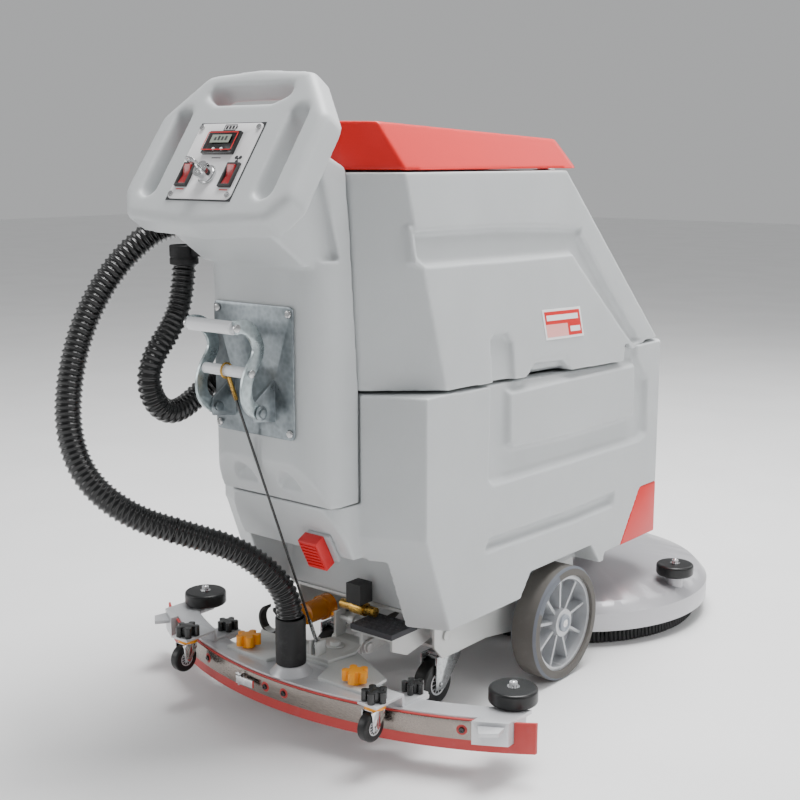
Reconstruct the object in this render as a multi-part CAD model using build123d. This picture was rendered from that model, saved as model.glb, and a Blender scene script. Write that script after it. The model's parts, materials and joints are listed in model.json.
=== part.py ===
"""Walk-behind floor scrubber, modelled in millimetres.

+Z is up, +Y is the driving direction and +X is the operator's right-hand side.
The origin is on the floor, below the centre of the machine. The layout is drawn
from a datum a little behind it, and save() moves each piece. The squeegee is
raised for transport and the brush deck is down.
"""
import os
from math import asin, atan2, ceil, cos, degrees, hypot, pi, radians, sin, sqrt, tan

from build123d import *

os.makedirs("parts", exist_ok=True)

# ---- driving dimensions -------------------------------------------------------------------
SHEET = 5.0                     # galvanised sheet of chassis, arms and carrier
ORIGIN_Y = 14.24                # the machine's middle, from the layout datum
RUN_GAP = 0.06                  # radial clearance of a shaft in its bore
SIDE_GAP = 0.5                  # side clearance between moving plates
WALL = 6.0                      # wall of the moulded tanks

# main wheels
WHEEL_R, WHEEL_W, TRACK_HALF = 100.0, 50.0, 203.0
AXLE_Y, AXLE_R = 8.0, 8.0
TYRE_T = 16.0
SPOKES = 9

# moulded bodies
BODY_HALF = 216.0               # half width of both tanks at the seam
BODY_FRONT, BODY_BASE = 371.0, 175.0
TANK_TOP_HALF, TANK_TOP_Z = 190.0, 868.0
SEAM_REAR_Z, SEAM_MID_Z, SEAM_FRONT_Z = 547.0, 528.0, 557.0
SEAM_STEP_Y = 195.0
SEAM_GAP = 5.0
COLUMN_HALF, COLUMN_REAR, COLUMN_FRONT = 118.0, -500.0, -404.0
COLUMN_BASE_Z, KNEE_Z, COLUMN_CORNER_R = 383.0, 450.0, 58.0
COLUMN_TOP_Z = 875.0
COLUMN_LEAN = 0.07              # rearward lean of the column's front wall
COLUMN_GAP = 3.0
BAY_HALF, BAY_WALL_Y, BAY_TOP_Z = 150.0, -281.0, 290.0
TUNNEL_HALF, TUNNEL_Y, TUNNEL_TOP_Z = 135.0, 60.0, 235.0
ARCH_GAP, ARCH_X = 14.0, 165.0  # gap over a wheel, and how far in its arch goes
FILLER_R = 45.0                 # hole that joins the water chamber to the top

# handle and control panel, on a plane that faces the operator
PANEL_Y, PANEL_Z, PANEL_TILT = -566.0, 883.0, 34.7
HANDLE_T = 44.0
PANEL_W, PANEL_H, PANEL_T = 126.0, 124.0, 2.0
PANEL_SCREW = 114.0             # spacing of the four panel screws
GRIP_X, GRIP_W, GRIP_LOW, GRIP_HIGH = 116.0, 32.0, -57.0, 93.0

# chassis
PLATE_Z, RAIL_X = 170.0, 145.0
CASTER_X, CASTER_Y, CASTER_TRAIL = 112.0, -178.0, 41.0
CASTER_R, CASTER_W, CASTER_PAD_Z = 37.5, 26.0, 94.0

# lever, plate and lifting cable
PLATE_HALF, PLATE_LOW, PLATE_HIGH, PLATE_T = 81.0, 488.0, 681.0, 3.0
LEVER_Y, LEVER_Z, LEVER_X, LEVER_T = -538.0, 531.0, 44.0, 5.0
CROSS_Y, CROSS_Z, CROSS_R = -556.0, 590.0, 8.0
GRIP_BAR_Y, GRIP_BAR_Z, GRIP_BAR_R = -582.0, 657.0, 9.5
BOLT_R = 4.0
LUG_Y, LUG_Z = -374.0, 120.0
CABLE_R = 2.0

# squeegee lift linkage: two parallel links hold the squeegee level
LIFT_Y, LIFT_Z = -130.0, 118.0
YOKE_Y, YOKE_Z = -290.0, 100.0
LINK_RISE = 38.0                # the upper link's pins above the lower link's
PIN_R = 5.0
ARM_X = 31.5
SWING_Y = -332.0

# squeegee, raised
RAISED = 45.0                   # height of the blades' edges above the floor
BLADE_R, BLADE_CY = 690.0, 218.0
BLADE_HALF, BEAM_HALF = 399.0, 372.0
BLADE_T, BLADE_H = 4.0, 48.0
BEAM_Z, BEAM_T = 90.0, 6.0
PORT_Y, PORT_R = -435.0, 21.0
KNOB_X, KNOB_Y, KNOB_R = 117.0, -415.0, 21.0
FOOT_X, FOOT_Y, FOOT_TRAIL, FOOT_R, FOOT_W = 203.0, -470.0, 10.0, 23.0, 16.0
FOOT_LOW = 57.0
CLAMP_Y = -381.0
BUMPER_X, BUMPER_Y, BUMPER_R, BUMPER_H = 336.0, -311.0, 37.0, 24.0

# brush deck
DECK_Y, DECK_R, DECK_LOW, DECK_TOP = 364.0, 283.0, 32.0, 108.0
BRUSH_R, BRUSH_LOW = 262.0, 1.0
DECK_LINK_Y, DECK_YOKE_Y, DECK_LINK_Z, DECK_TIE_Z = 42.0, 190.0, 148.0, 126.0
DECK_ARM_X = 66.0
ROLLER_X, ROLLER_Y, ROLLER_R, ROLLER_H = 252.0, 354.0, 35.0, 22.0
MOTOR_R, MOTOR_TOP = 62.0, 190.0

# pedal
PEDAL_Y, PEDAL_Z, PEDAL_X = -232.0, 132.0, 83.0

# hoses
HOSE_R, DRAIN_R = 21.0, 19.0

# tank and lid hinges
TILT_X, TILT_Z = -224.0, 546.0
LID_AXIS_Y, LID_AXIS_Z = 93.0, TANK_TOP_Z - 2.0
LID_RISE = 74.0                 # the lid's top above the tank's


# ---- helpers ------------------------------------------------------------------------------
def box(x0, x1, y0, y1, z0, z1):
    """A box between two corners."""
    return Pos((x0 + x1) / 2, (y0 + y1) / 2, (z0 + z1) / 2) * Box(x1 - x0, y1 - y0, z1 - z0)


def rod(start, end, radius):
    """A round bar from one point to another."""
    a, b = Vector(*start), Vector(*end)
    return Solid.make_cylinder(radius, (b - a).length, Plane(origin=a, z_dir=b - a))


def prism(points, direction):
    """A polygon of 3-D points pushed along a direction."""
    return Solid.extrude(Face(Wire.make_polygon([Vector(*p) for p in points])), Vector(*direction))


def prism_x(points, x0, x1):
    """A (y, z) polygon pushed along X."""
    return prism([(x0, y, z) for y, z in points], (x1 - x0, 0, 0))


def prism_z(points, z0, z1):
    """An (x, y) polygon pushed along Z."""
    return prism([(x, y, z0) for x, y in points], (0, 0, z1 - z0))


def both_sides(points):
    """A half outline, given from the centre line outwards and round, made whole."""
    return points + [(-x, y) for x, y in reversed(points) if x > 0]


def mirrored(shape):
    """The same piece on the other side of the machine."""
    return shape.mirror(Plane.YZ)


def fused(*shapes):
    """One solid from pieces that touch."""
    first = shapes[0]
    return first.fuse(*shapes[1:]).clean()


def arc_sector(r_in, r_out, half_width, z0, z1):
    """A curved bar of the squeegee's plan, centred on the machine."""
    ring = Cylinder(r_out, z1 - z0) - Cylinder(r_in, z1 - z0)
    ring = Pos(0, BLADE_CY, (z0 + z1) / 2) * ring
    return ring & box(-half_width, half_width, BLADE_CY - r_out - 1, BLADE_CY - r_in * 0.7, z0, z1)


def star(centre, radius, z0, z1, lobes=5):
    """A star knob with rounded lobes."""
    x, y = centre
    body = Pos(x, y, (z0 + z1) / 2) * Cylinder(radius * 0.55, z1 - z0)
    for k in range(lobes):
        angle = 2 * pi * k / lobes
        lobe = Pos(x + 0.72 * radius * cos(angle), y + 0.72 * radius * sin(angle), (z0 + z1) / 2)
        body = body + lobe * Cylinder(radius * 0.28, z1 - z0)
        spoke = Pos(x, y, (z0 + z1) / 2) * Rot(0, 0, degrees(angle)) * Pos(0.36 * radius, 0, 0)
        body = body + spoke * Box(0.72 * radius, radius * 0.42, z1 - z0)
    return body


def save(name, *shapes):
    """Write one named sub-part, moved from the layout datum to the machine's middle."""
    shape = shapes[0] if len(shapes) == 1 else Compound(children=list(shapes))
    export_step(Pos(0, -ORIGIN_Y, 0) * shape, f"parts/{name}.step")


def tube_path(points, radius_floor):
    """Straight runs joined by arcs as large as the runs allow."""
    corners = [Vector(*p) for p in points]
    radii = []
    for a, b, c in zip(corners, corners[1:], corners[2:]):
        turn = (b - a).get_angle(c - b)
        run = min((b - a).length, (c - b).length)
        radii.append(0.45 * run / tan(radians(turn / 2)))
    print("  bend radii", [round(r) for r in radii], "floor", radius_floor)
    return FilletPolyline(*corners, radius=radii)


def hose(name, points, radius):
    """A plain tube along a hose's route."""
    path = tube_path(points, 3 * radius)
    section = Plane(origin=path @ 0, z_dir=path % 0) * Circle(radius)
    tube = sweep(section, path=path)
    ideal = pi * radius ** 2 * path.length
    print(f"  {name}: length {path.length:.0f} mm, volume ratio {tube.volume / ideal:.4f}")
    return tube


# ---- moulded bodies -----------------------------------------------------------------------
def column_front(z):
    """Where the column's front wall stands at a height."""
    return COLUMN_FRONT - max(0.0, z - SEAM_REAR_Z) * COLUMN_LEAN


def rounded_plan(half, rear, front, radius, z0, z1):
    """A block with two rounded rear corners."""
    block = box(-half, half, rear, front, z0, z1)
    corners = block.edges().filter_by(Axis.Z).group_by(Axis.Y)[0]
    return fillet(corners, radius)


def seam_profile(offset, low, rear, front):
    """The area below the seam between the two tanks, as (y, z) points."""
    return [(rear, low), (rear, SEAM_REAR_Z + offset), (-320, SEAM_REAR_Z + offset),
            (SEAM_STEP_Y, SEAM_MID_Z + offset), (SEAM_STEP_Y + 9, SEAM_FRONT_Z + offset),
            (front, SEAM_FRONT_Z + offset), (front, low)]


NECK_SLOPE = 0.52               # the lower tank's neck runs forward below the column


def lower_outer():
    """The outer form of the lower tank."""
    rear = COLUMN_FRONT + COLUMN_GAP
    upper = both_sides([(0, rear), (121.5, rear), (121.5, rear - 7), (BODY_HALF, -367),
                        (BODY_HALF, 331), (184, BODY_FRONT), (0, BODY_FRONT)])
    body = prism_z(upper, 330, 570)
    lower = both_sides([(0, rear), (121.5, rear), (121.5, rear - 6), (BODY_HALF, -366),
                        (BODY_HALF, 331), (184, BODY_FRONT), (0, BODY_FRONT)])
    foot = both_sides([(0, rear + 60), (121.5, rear + 60), (121.5, rear + 54),
                       (BODY_HALF, -308), (BODY_HALF, 331), (184, BODY_FRONT), (0, BODY_FRONT)])
    wires = [Wire.make_polygon([Vector(x, y, z) for x, y in points])
             for points, z in ((lower, 330), (foot, BODY_BASE))]
    skirt = Solid.make_loft(wires, ruled=True)
    neck_rear = COLUMN_REAR + (KNEE_Z - COLUMN_BASE_Z) * 0.57
    neck = prism_x([(rear, COLUMN_BASE_Z - 2), (neck_rear, COLUMN_BASE_Z - 2),
                    (neck_rear + 84 * NECK_SLOPE, COLUMN_BASE_Z - 86),
                    (rear + 60, COLUMN_BASE_Z - 93), (rear + 60, COLUMN_BASE_Z - 2)],
                   -COLUMN_HALF, COLUMN_HALF)
    neck = neck & rounded_plan(COLUMN_HALF, neck_rear, rear + 70, 40, 250, 400)
    top = prism_x(seam_profile(0, 100, -480, 400), -250, 250)
    slope = prism_x([(420, 100), (BODY_FRONT + 0.5, 100), (BODY_FRONT + 0.5, 490),
                     (343, 560), (343, 600), (420, 600)], -250, 250)
    return fused(body, skirt, neck) & top - slope


def trim_area(side, gap):
    """The corner area that a red trim piece fills."""
    low, high = BODY_BASE + 15, 287
    area = prism_x([(205 - gap, low - gap), (272 - gap, high + gap), (400, high + gap),
                    (400, low - gap)], 176 - gap, 260)
    return area if side > 0 else mirrored(area)


def lower_tank(outer):
    """The solution tank with its battery and fan bays and the space for the running gear."""
    tank = outer
    tank -= box(-BAY_HALF, BAY_HALF, -480, BAY_WALL_Y, 100, BAY_TOP_Z)
    tank -= box(-TUNNEL_HALF, TUNNEL_HALF, TUNNEL_Y, 420, 100, TUNNEL_TOP_Z)
    front_lift = prism_x([(130, 100), (150, BODY_BASE + 15), (420, BODY_BASE + 15), (420, 100)],
                         -250, 250)
    tank -= front_lift
    for side in (1, -1):
        top, wide, narrow = 2 * WHEEL_R + ARCH_GAP, WHEEL_R + 26, WHEEL_R - 4
        arch = prism_x([(AXLE_Y - wide, 100), (AXLE_Y - wide, BODY_BASE), (AXLE_Y - narrow, top),
                        (AXLE_Y + narrow, top), (AXLE_Y + wide, BODY_BASE), (AXLE_Y + wide, 100)],
                       ARCH_X, 250)
        tank -= arch if side > 0 else mirrored(arch)
        tank -= trim_area(side, 0.4)
    tank -= box(-172, 172, -252, 112, 250, 600)
    tank -= box(-82, 82, -392, -262, 305, 600)
    chamber = both_sides([(0, 122), (178, 122), (178, -250), (209, -250), (209, 326), (180, 361),
                          (0, 361)])
    tank -= prism_z(chamber, 242, 515)
    tank -= rod((0, 240, 500), (0, 240, 570), FILLER_R)
    return tank


def corner_trim(outer, side):
    """The red piece on a front lower corner."""
    return outer & trim_area(side, 0)


def console_column():
    """The rear column and the operator's handle, one moulding."""
    side = [(COLUMN_FRONT, COLUMN_BASE_Z),
            (COLUMN_REAR + (KNEE_Z - COLUMN_BASE_Z) * 0.57, COLUMN_BASE_Z),
            (COLUMN_REAR, KNEE_Z), (COLUMN_REAR, 745), (column_front(745), 745),
            (COLUMN_FRONT, SEAM_REAR_Z)]
    lower = prism_x(side, -COLUMN_HALF, COLUMN_HALF)
    lower = lower & rounded_plan(COLUMN_HALF, COLUMN_REAR, -380, COLUMN_CORNER_R, 370, 750)
    neck = prism_x([(column_front(745), 745), (COLUMN_REAR, 738), (-572, 790), (-548, 860),
                    (-516, 904), (-470, 897), (column_front(COLUMN_TOP_Z), COLUMN_TOP_Z)],
                   -104, 104)
    shoulder = prism_x([(column_front(745), 745), (-442, 745), (-482, 880), (-470, 895),
                        (column_front(COLUMN_TOP_Z), COLUMN_TOP_Z)], -COLUMN_HALF, COLUMN_HALF)
    column = fused(lower, neck, shoulder, handle_frame())
    column -= rounded_plan(COLUMN_HALF - 14, COLUMN_REAR + 16, -380, COLUMN_CORNER_R - 12, 470, 735)
    column -= box(-7, 7, COLUMN_REAR - 10, COLUMN_REAR + 6, COLUMN_BASE_Z - 5, 486)
    for x in (-45, 45):
        hollow = rod((x, COLUMN_REAR + 26, 402), (x, COLUMN_REAR - 30, 432), 23)
        column -= hollow & box(-200, 200, -560, -470, 300, 520)
    column -= panel_place() * Pos(0, 0, -20) * Box(PANEL_W - 16, PANEL_H - 16, 40)
    return column


def panel_place():
    """The frame of the operator's panel: x right, y up the panel, z out of it."""
    lean = radians(PANEL_TILT)
    return Plane(origin=(0, PANEL_Y, PANEL_Z), x_dir=(1, 0, 0),
                 z_dir=(0, -cos(lean), sin(lean))).location


def panel_point(x, up, out=0.0):
    """A point of the panel's frame in the machine's frame."""
    lean = radians(PANEL_TILT)
    return (x, PANEL_Y + up * sin(lean) - out * cos(lean), PANEL_Z + up * cos(lean) + out * sin(lean))


def handle_frame():
    """The flat moulded handle with one grip slot above the panel and one on each side."""
    half = [(0, 161), (103, 153), (165, 80), (168, -52), (140, -90), (0, -100)]
    outline = half + [(-x, y) for x, y in reversed(half) if x > 0]
    plate = Solid.extrude(Face(Wire.make_polygon([Vector(x, y, -HANDLE_T) for x, y in outline])),
                          Vector(0, 0, HANDLE_T))
    plate = fillet(plate.edges().filter_by(Axis.Z), 16)
    plate = fillet(plate.edges().group_by(Axis.Z)[-1], 12)
    top = [(-58, 98), (58, 98), (84, 112), (78, 131), (-78, 131), (-84, 112)]
    slot = Solid.extrude(Face(Wire.make_polygon([Vector(x, y, -HANDLE_T - 10) for x, y in top])),
                         Vector(0, 0, HANDLE_T + 20))
    plate -= fillet(slot.edges().filter_by(Axis.Z), 8)
    for x in (-GRIP_X, GRIP_X):
        long = GRIP_HIGH - GRIP_LOW
        cut = Box(GRIP_W, long, HANDLE_T + 20)
        cut = fillet(cut.edges().filter_by(Axis.Z), GRIP_W / 2 - 0.5)
        plate -= Pos(x, (GRIP_LOW + GRIP_HIGH) / 2, -HANDLE_T / 2) * cut
    return panel_place() * plate


def recovery_outer(inset=0.0, low=500.0):
    """The tapered outer form of the recovery tank."""
    top = TANK_TOP_Z - inset

    def outline(z, half, corner_y, front_y):
        rear = column_front(z) + COLUMN_GAP + inset
        return [(0, rear), (121 - inset / 2, rear), (half - inset, corner_y + inset),
                (half - inset, front_y - 34 - inset), (half - 34 - inset, front_y - inset),
                (0, front_y - inset)]

    rise = (TANK_TOP_Z - low) / (TANK_TOP_Z - 552)
    low_half = TANK_TOP_HALF + (BODY_HALF - TANK_TOP_HALF) * rise
    low_front = 68 + (361 - 68) * rise
    low_corner = -385 + (385 - 319) * rise
    wires = []
    for z, half, corner_y, front_y in ((low, low_half, low_corner, low_front),
                                       (top, TANK_TOP_HALF, -385, 68)):
        points = both_sides(outline(z, half, corner_y, front_y))
        wires.append(Wire.make_polygon([Vector(x, y, z) for x, y in points]))
    return Solid.make_loft(wires, ruled=True)


def recovery_tank():
    """The dirty-water tank, hollow, with a hand hole in its top and a lifting notch."""
    body = recovery_outer()
    below = prism_x(seam_profile(SEAM_GAP, 400, -480, 480), -260, 260)
    body -= below
    cavity = recovery_outer(WALL, 505)
    cavity -= prism_x(seam_profile(SEAM_GAP + WALL, 400, -480, 480), -260, 260)
    body -= cavity
    body -= box(-115, 115, -330, 0, TANK_TOP_Z - 12, TANK_TOP_Z + 2)
    notch = prism_x([(-112, 500), (-92, 566), (14, 566), (32, 500)], 188, 260)
    wall = prism_x([(-124, 500), (-104, 574), (26, 574), (44, 500)], 182, 205) - below
    body = body + (wall & recovery_outer())
    body -= notch
    return body


def lid():
    """The red lid, a shallow hollow cap."""
    low_z, high_z = TANK_TOP_Z + 3, TANK_TOP_Z + LID_RISE
    low = both_sides([(0, -422), (100, -422), (187, -378), (190, 56), (174, 87), (0, 87)])
    high = both_sides([(0, -418), (96, -418), (146, -398), (148, 24), (140, 40), (0, 40)])
    wires = [Wire.make_polygon([Vector(x, y, z) for x, y in points])
             for points, z in ((low, low_z), (high, high_z))]
    cap = Solid.make_loft(wires, ruled=True)
    cap -= prism_x([(-440, high_z + 1), (-422, high_z - 2), (50, high_z - 24), (110, high_z - 27),
                    (110, high_z + 18), (-440, high_z + 18)], -220, 220)
    inner_low = both_sides([(0, -416), (97, -416), (180, -374), (183, 52), (170, 80), (0, 80)])
    inner_high = both_sides([(0, -412), (90, -412), (138, -392), (140, 18), (134, 32), (0, 32)])
    wires = [Wire.make_polygon([Vector(x, y, z) for x, y in points])
             for points, z in ((inner_low, low_z - 0.5), (inner_high, high_z - 32))]
    cap -= Solid.make_loft(wires, ruled=True)
    for x in (-110, 110):
        cap += box(x - 9, x + 9, 80, LID_AXIS_Y, LID_AXIS_Z, low_z + 8)
        cap += rod((x - 9, LID_AXIS_Y, LID_AXIS_Z), (x + 9, LID_AXIS_Y, LID_AXIS_Z), 6)
        cap -= rod((x - 12, LID_AXIS_Y, LID_AXIS_Z), (x + 12, LID_AXIS_Y, LID_AXIS_Z), 2.5 + RUN_GAP)
    return cap


def lid_hinges():
    """Two forked hinge lugs with pins on the tank's front upper edge."""
    parts = []
    for x in (-110, 110):
        for side in (-1, 1):
            inner = x + side * (9 + SIDE_GAP)
            outer = inner + side * 6
            a, b = sorted((inner, outer))
            lug = prism_x([(64, LID_AXIS_Z), (LID_AXIS_Y - 6, LID_AXIS_Z + 3.5), (LID_AXIS_Y - 2, LID_AXIS_Z + 5),
                           (LID_AXIS_Y + 4, LID_AXIS_Z + 4.5), (LID_AXIS_Y + 6, LID_AXIS_Z),
                           (LID_AXIS_Y + 2, LID_AXIS_Z - 8), (84.5, LID_AXIS_Z - 14)], a, b)
            parts.append(lug)
        pin = rod((x - 16, LID_AXIS_Y, LID_AXIS_Z), (x + 16, LID_AXIS_Y, LID_AXIS_Z), 2.5)
        parts.append(pin)
    left = fused(*parts[:3])
    right = fused(*parts[3:])
    outer = recovery_outer()
    return [left - outer, right - outer]


def tilt_hinges():
    """Hinges on the left of the seam: fixed knuckles with pins, and the tank's knuckles."""
    fixed, moving = [], []
    for y in (-200, 100):
        low = fused(rod((TILT_X, y - 30, TILT_Z), (TILT_X, y - 10.5, TILT_Z), 5),
                    rod((TILT_X, y + 10.5, TILT_Z), (TILT_X, y + 30, TILT_Z), 5),
                    rod((TILT_X, y - 30, TILT_Z), (TILT_X, y + 30, TILT_Z), 2.5),
                    box(TILT_X - 2, TILT_X + 1, y - 30, y - 10.5, 498, TILT_Z),
                    box(TILT_X - 2, TILT_X + 1, y + 10.5, y + 30, 498, TILT_Z),
                    box(TILT_X - 2, -BODY_HALF, y - 30, y + 30, 488, 510))
        high = fused(rod((TILT_X, y - 10, TILT_Z), (TILT_X, y + 10, TILT_Z), 5),
                     box(TILT_X - 2, TILT_X + 1, y - 10, y + 10, TILT_Z, 590),
                     box(TILT_X - 2, -205, y - 10, y + 10, 572, 590))
        high -= rod((TILT_X, y - 12, TILT_Z), (TILT_X, y + 12, TILT_Z), 2.5 + RUN_GAP)
        fixed.append(low)
        moving.append(high - recovery_outer())
    return fixed, moving


# ---- inside the moulded bodies ------------------------------------------------------------
def battery(front):
    """A traction battery with two posts."""
    y = 20 if front else -158
    case = box(-165, 165, y - 86, y + 86, 250, 462)
    case = fillet(case.edges().filter_by(Axis.Z), 6)
    posts = [Pos(x, y, 469) * Cylinder(9, 14) for x in (-120, 120)]
    return fused(case, *posts)


def vacuum_motor():
    """The suction fan: a drum with a smaller motor can on top."""
    drum = Pos(0, -327, 345) * Cylinder(62, 80)
    can = Pos(0, -327, 430) * Cylinder(44, 90)
    return fused(drum, can)


def strainer_basket():
    """The debris basket that hangs in the tank's hand hole."""
    rim = box(-122, 122, -240, -90, TANK_TOP_Z, TANK_TOP_Z + 2)
    cup = Pos(0, -165, TANK_TOP_Z - 55) * Cylinder(60, 110)
    cup -= Pos(0, -165, TANK_TOP_Z - 50) * Cylinder(57, 112)
    rim -= Pos(0, -165, TANK_TOP_Z) * Cylinder(57, 10)
    return fused(cup, rim)


# ---- chassis and wheels -------------------------------------------------------------------
def chassis_frame():
    """Sheet-metal chassis: top plate, two rails, castor pads and linkage ears."""
    plate = box(-150, 150, -281, 60, PLATE_Z, PLATE_Z + SHEET)
    pieces = [plate]
    for side in (1, -1):
        rail = prism_x([(-262, PLATE_Z + SHEET), (-262, 118), (-240, CASTER_PAD_Z),
                        (-120, CASTER_PAD_Z), (-40, 82), (56, 82), (150, 130),
                        (150, PLATE_Z + SHEET)], RAIL_X, RAIL_X + SHEET)
        pad = box(80, RAIL_X, CASTER_Y - 38, CASTER_Y + 38, CASTER_PAD_Z, CASTER_PAD_Z + SHEET)
        ear = box(ARM_X + SHEET + 1, ARM_X + 2 * SHEET + 1, LIFT_Y - 16, LIFT_Y + 16, 100, PLATE_Z)
        deck_ear = box(DECK_ARM_X + SHEET + 1, DECK_ARM_X + 2 * SHEET + 1, DECK_LINK_Y - 12,
                       DECK_LINK_Y + 12, 136, PLATE_Z)
        tie_ear = box(8, 12, DECK_LINK_Y - 12, DECK_LINK_Y + 12, 114, PLATE_Z)
        group = fused(rail, pad)
        for item in (group, ear, deck_ear, tie_ear):
            pieces.append(item if side > 0 else mirrored(item))
    frame = fused(*pieces)
    frame -= rod((-160, AXLE_Y, WHEEL_R), (160, AXLE_Y, WHEEL_R), AXLE_R)
    for side in (-1, 1):
        frame -= rod((side * CASTER_X, CASTER_Y, 80), (side * CASTER_X, CASTER_Y, 120), 6 + RUN_GAP)
    for y, z, r in ((LIFT_Y, LIFT_Z, PIN_R), (LIFT_Y, LIFT_Z + LINK_RISE, BOLT_R),
                    (DECK_LINK_Y, DECK_LINK_Z, PIN_R), (DECK_LINK_Y, DECK_TIE_Z, BOLT_R)):
        frame -= rod((-100, y, z), (100, y, z), r)
    frame -= rod((120, PEDAL_Y, PEDAL_Z), (160, PEDAL_Y, PEDAL_Z), PIN_R)
    return frame


def cross_pin(y, z, half, radius):
    """A pin across the machine with a thin head at each end."""
    pin = rod((-half, y, z), (half, y, z), radius)
    heads = [rod((s * half, y, z), (s * (half + 3), y, z), radius + 3) for s in (-1, 1)]
    return fused(pin, *heads)


def linkage_pins():
    """The fixed pins of the two parallel linkages and of the pedal."""
    ear = ARM_X + 2 * SHEET + 1
    deck_ear = DECK_ARM_X + 2 * SHEET + 1
    pedal = rod((PEDAL_X + 32, PEDAL_Y, PEDAL_Z), (RAIL_X + SHEET, PEDAL_Y, PEDAL_Z), PIN_R)
    head = rod((RAIL_X + SHEET, PEDAL_Y, PEDAL_Z), (RAIL_X + SHEET + 4, PEDAL_Y, PEDAL_Z), 9)
    return [cross_pin(LIFT_Y, LIFT_Z, ear, PIN_R), cross_pin(LIFT_Y, LIFT_Z + LINK_RISE, ear, BOLT_R),
            cross_pin(DECK_LINK_Y, DECK_LINK_Z, deck_ear, PIN_R),
            cross_pin(DECK_LINK_Y, DECK_TIE_Z, 12, BOLT_R), fused(pedal, head)]


def axle():
    """The fixed axle with a retaining cap on each end."""
    end = TRACK_HALF + WHEEL_W / 2 - 2
    bar = rod((-end, AXLE_Y, WHEEL_R), (end, AXLE_Y, WHEEL_R), AXLE_R)
    caps = [rod((s * (end - 3), AXLE_Y, WHEEL_R), (s * end, AXLE_Y, WHEEL_R), 14) for s in (-1, 1)]
    return fused(bar, *caps)


def wheel_hub(side):
    """A spoked hub: rim, web of spokes and bored boss."""
    x0, x1 = TRACK_HALF - WHEEL_W / 2 + 3, TRACK_HALF + WHEEL_W / 2 - 6
    rim_r = WHEEL_R - TYRE_T
    rim = rod((x0, AXLE_Y, WHEEL_R), (x1, AXLE_Y, WHEEL_R), rim_r)
    rim -= rod((x0 - 1, AXLE_Y, WHEEL_R), (x1 + 1, AXLE_Y, WHEEL_R), rim_r - 7)
    boss = rod((x0, AXLE_Y, WHEEL_R), (x1, AXLE_Y, WHEEL_R), 24)
    web = rod((x0 + 8, AXLE_Y, WHEEL_R), (x0 + 13, AXLE_Y, WHEEL_R), rim_r - 3)
    hub = fused(rim, boss, web)
    for k in range(SPOKES):
        spoke = Pos((x0 + x1) / 2 - 2, AXLE_Y, WHEEL_R) * Rot(360 / SPOKES * k, 0, 0)
        hub += spoke * Pos(0, 0, (rim_r + 20) / 2) * Box(x1 - x0 - 12, 5, rim_r - 24)
    hub -= rod((x0 - 1, AXLE_Y, WHEEL_R), (x1 + 1, AXLE_Y, WHEEL_R), AXLE_R + RUN_GAP)
    return hub if side > 0 else mirrored(hub)


def tyre(side):
    """The solid tyre, shouldered."""
    x0, x1 = TRACK_HALF - WHEEL_W / 2, TRACK_HALF + WHEEL_W / 2
    ring = rod((x0, AXLE_Y, WHEEL_R), (x1, AXLE_Y, WHEEL_R), WHEEL_R)
    ring = chamfer(ring.edges(), 4)
    ring -= rod((x0 - 1, AXLE_Y, WHEEL_R), (x1 + 1, AXLE_Y, WHEEL_R), WHEEL_R - TYRE_T)
    return ring if side > 0 else mirrored(ring)


def caster_fork(side):
    """The swivelling fork of a rear castor with its stem and wheel pin."""
    x, y = CASTER_X, CASTER_Y
    wheel_y = y - CASTER_TRAIL
    inner = CASTER_W / 2 + 1
    stem = rod((x, y, 86), (x, y, CASTER_PAD_Z + SHEET + 4), 6)
    cap = rod((x, y, CASTER_PAD_Z + SHEET + 0.5), (x, y, CASTER_PAD_Z + SHEET + 6), 11)
    disc = rod((x, y, 84), (x, y, 91), 26)
    crown = box(x - inner - 4, x + inner + 4, wheel_y + 6, y + 14, 80, 86)
    pieces = [stem, cap, disc, crown]
    for s in (-1, 1):
        a, b = sorted((x + s * inner, x + s * (inner + 4)))
        leg = prism_x([(y + 14, 86), (wheel_y - 10, 86), (wheel_y - 12, CASTER_R - 8),
                       (wheel_y + 12, CASTER_R - 10), (y + 14, 74)], a, b)
        pieces.append(leg)
    pieces.append(rod((x - inner - 7, wheel_y, CASTER_R), (x + inner + 7, wheel_y, CASTER_R), 4))
    fork = fused(*pieces)
    return fork if side > 0 else mirrored(fork)


def caster_wheel(side):
    """A rear castor's wheel."""
    x, y = CASTER_X, CASTER_Y - CASTER_TRAIL
    wheel = rod((x - CASTER_W / 2, y, CASTER_R), (x + CASTER_W / 2, y, CASTER_R), CASTER_R)
    wheel = chamfer(wheel.edges(), 3)
    wheel -= rod((x - 30, y, CASTER_R), (x + 30, y, CASTER_R), 4 + RUN_GAP)
    return wheel if side > 0 else mirrored(wheel)


# ---- lever and cable ----------------------------------------------------------------------
def latch_plate():
    """The steel plate on the column with the lever's two lugs."""
    plate = box(-PLATE_HALF, PLATE_HALF, COLUMN_REAR - PLATE_T, COLUMN_REAR, PLATE_LOW, PLATE_HIGH)
    plate = fillet(plate.edges().filter_by(Axis.Y), 8)
    for side in (1, -1):
        a, b = sorted((side * (LEVER_X - SIDE_GAP), side * (LEVER_X - SIDE_GAP - 4)))
        lug = prism_x([(COLUMN_REAR - PLATE_T, 512), (COLUMN_REAR - PLATE_T, 574),
                       (LEVER_Y - 8, 545), (LEVER_Y - 12, LEVER_Z), (LEVER_Y - 8, 518)], a, b)
        plate += lug
    plate -= rod((-60, LEVER_Y, LEVER_Z), (60, LEVER_Y, LEVER_Z), BOLT_R)
    return plate


def screw_y(x, z, face_y, radius=6.0):
    """A domed screw head on a rear-facing wall."""
    head = rod((x, face_y, z), (x, face_y - 3.5, z), radius)
    return chamfer(head.edges().group_by(Axis.Y)[0], 1.5)


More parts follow.
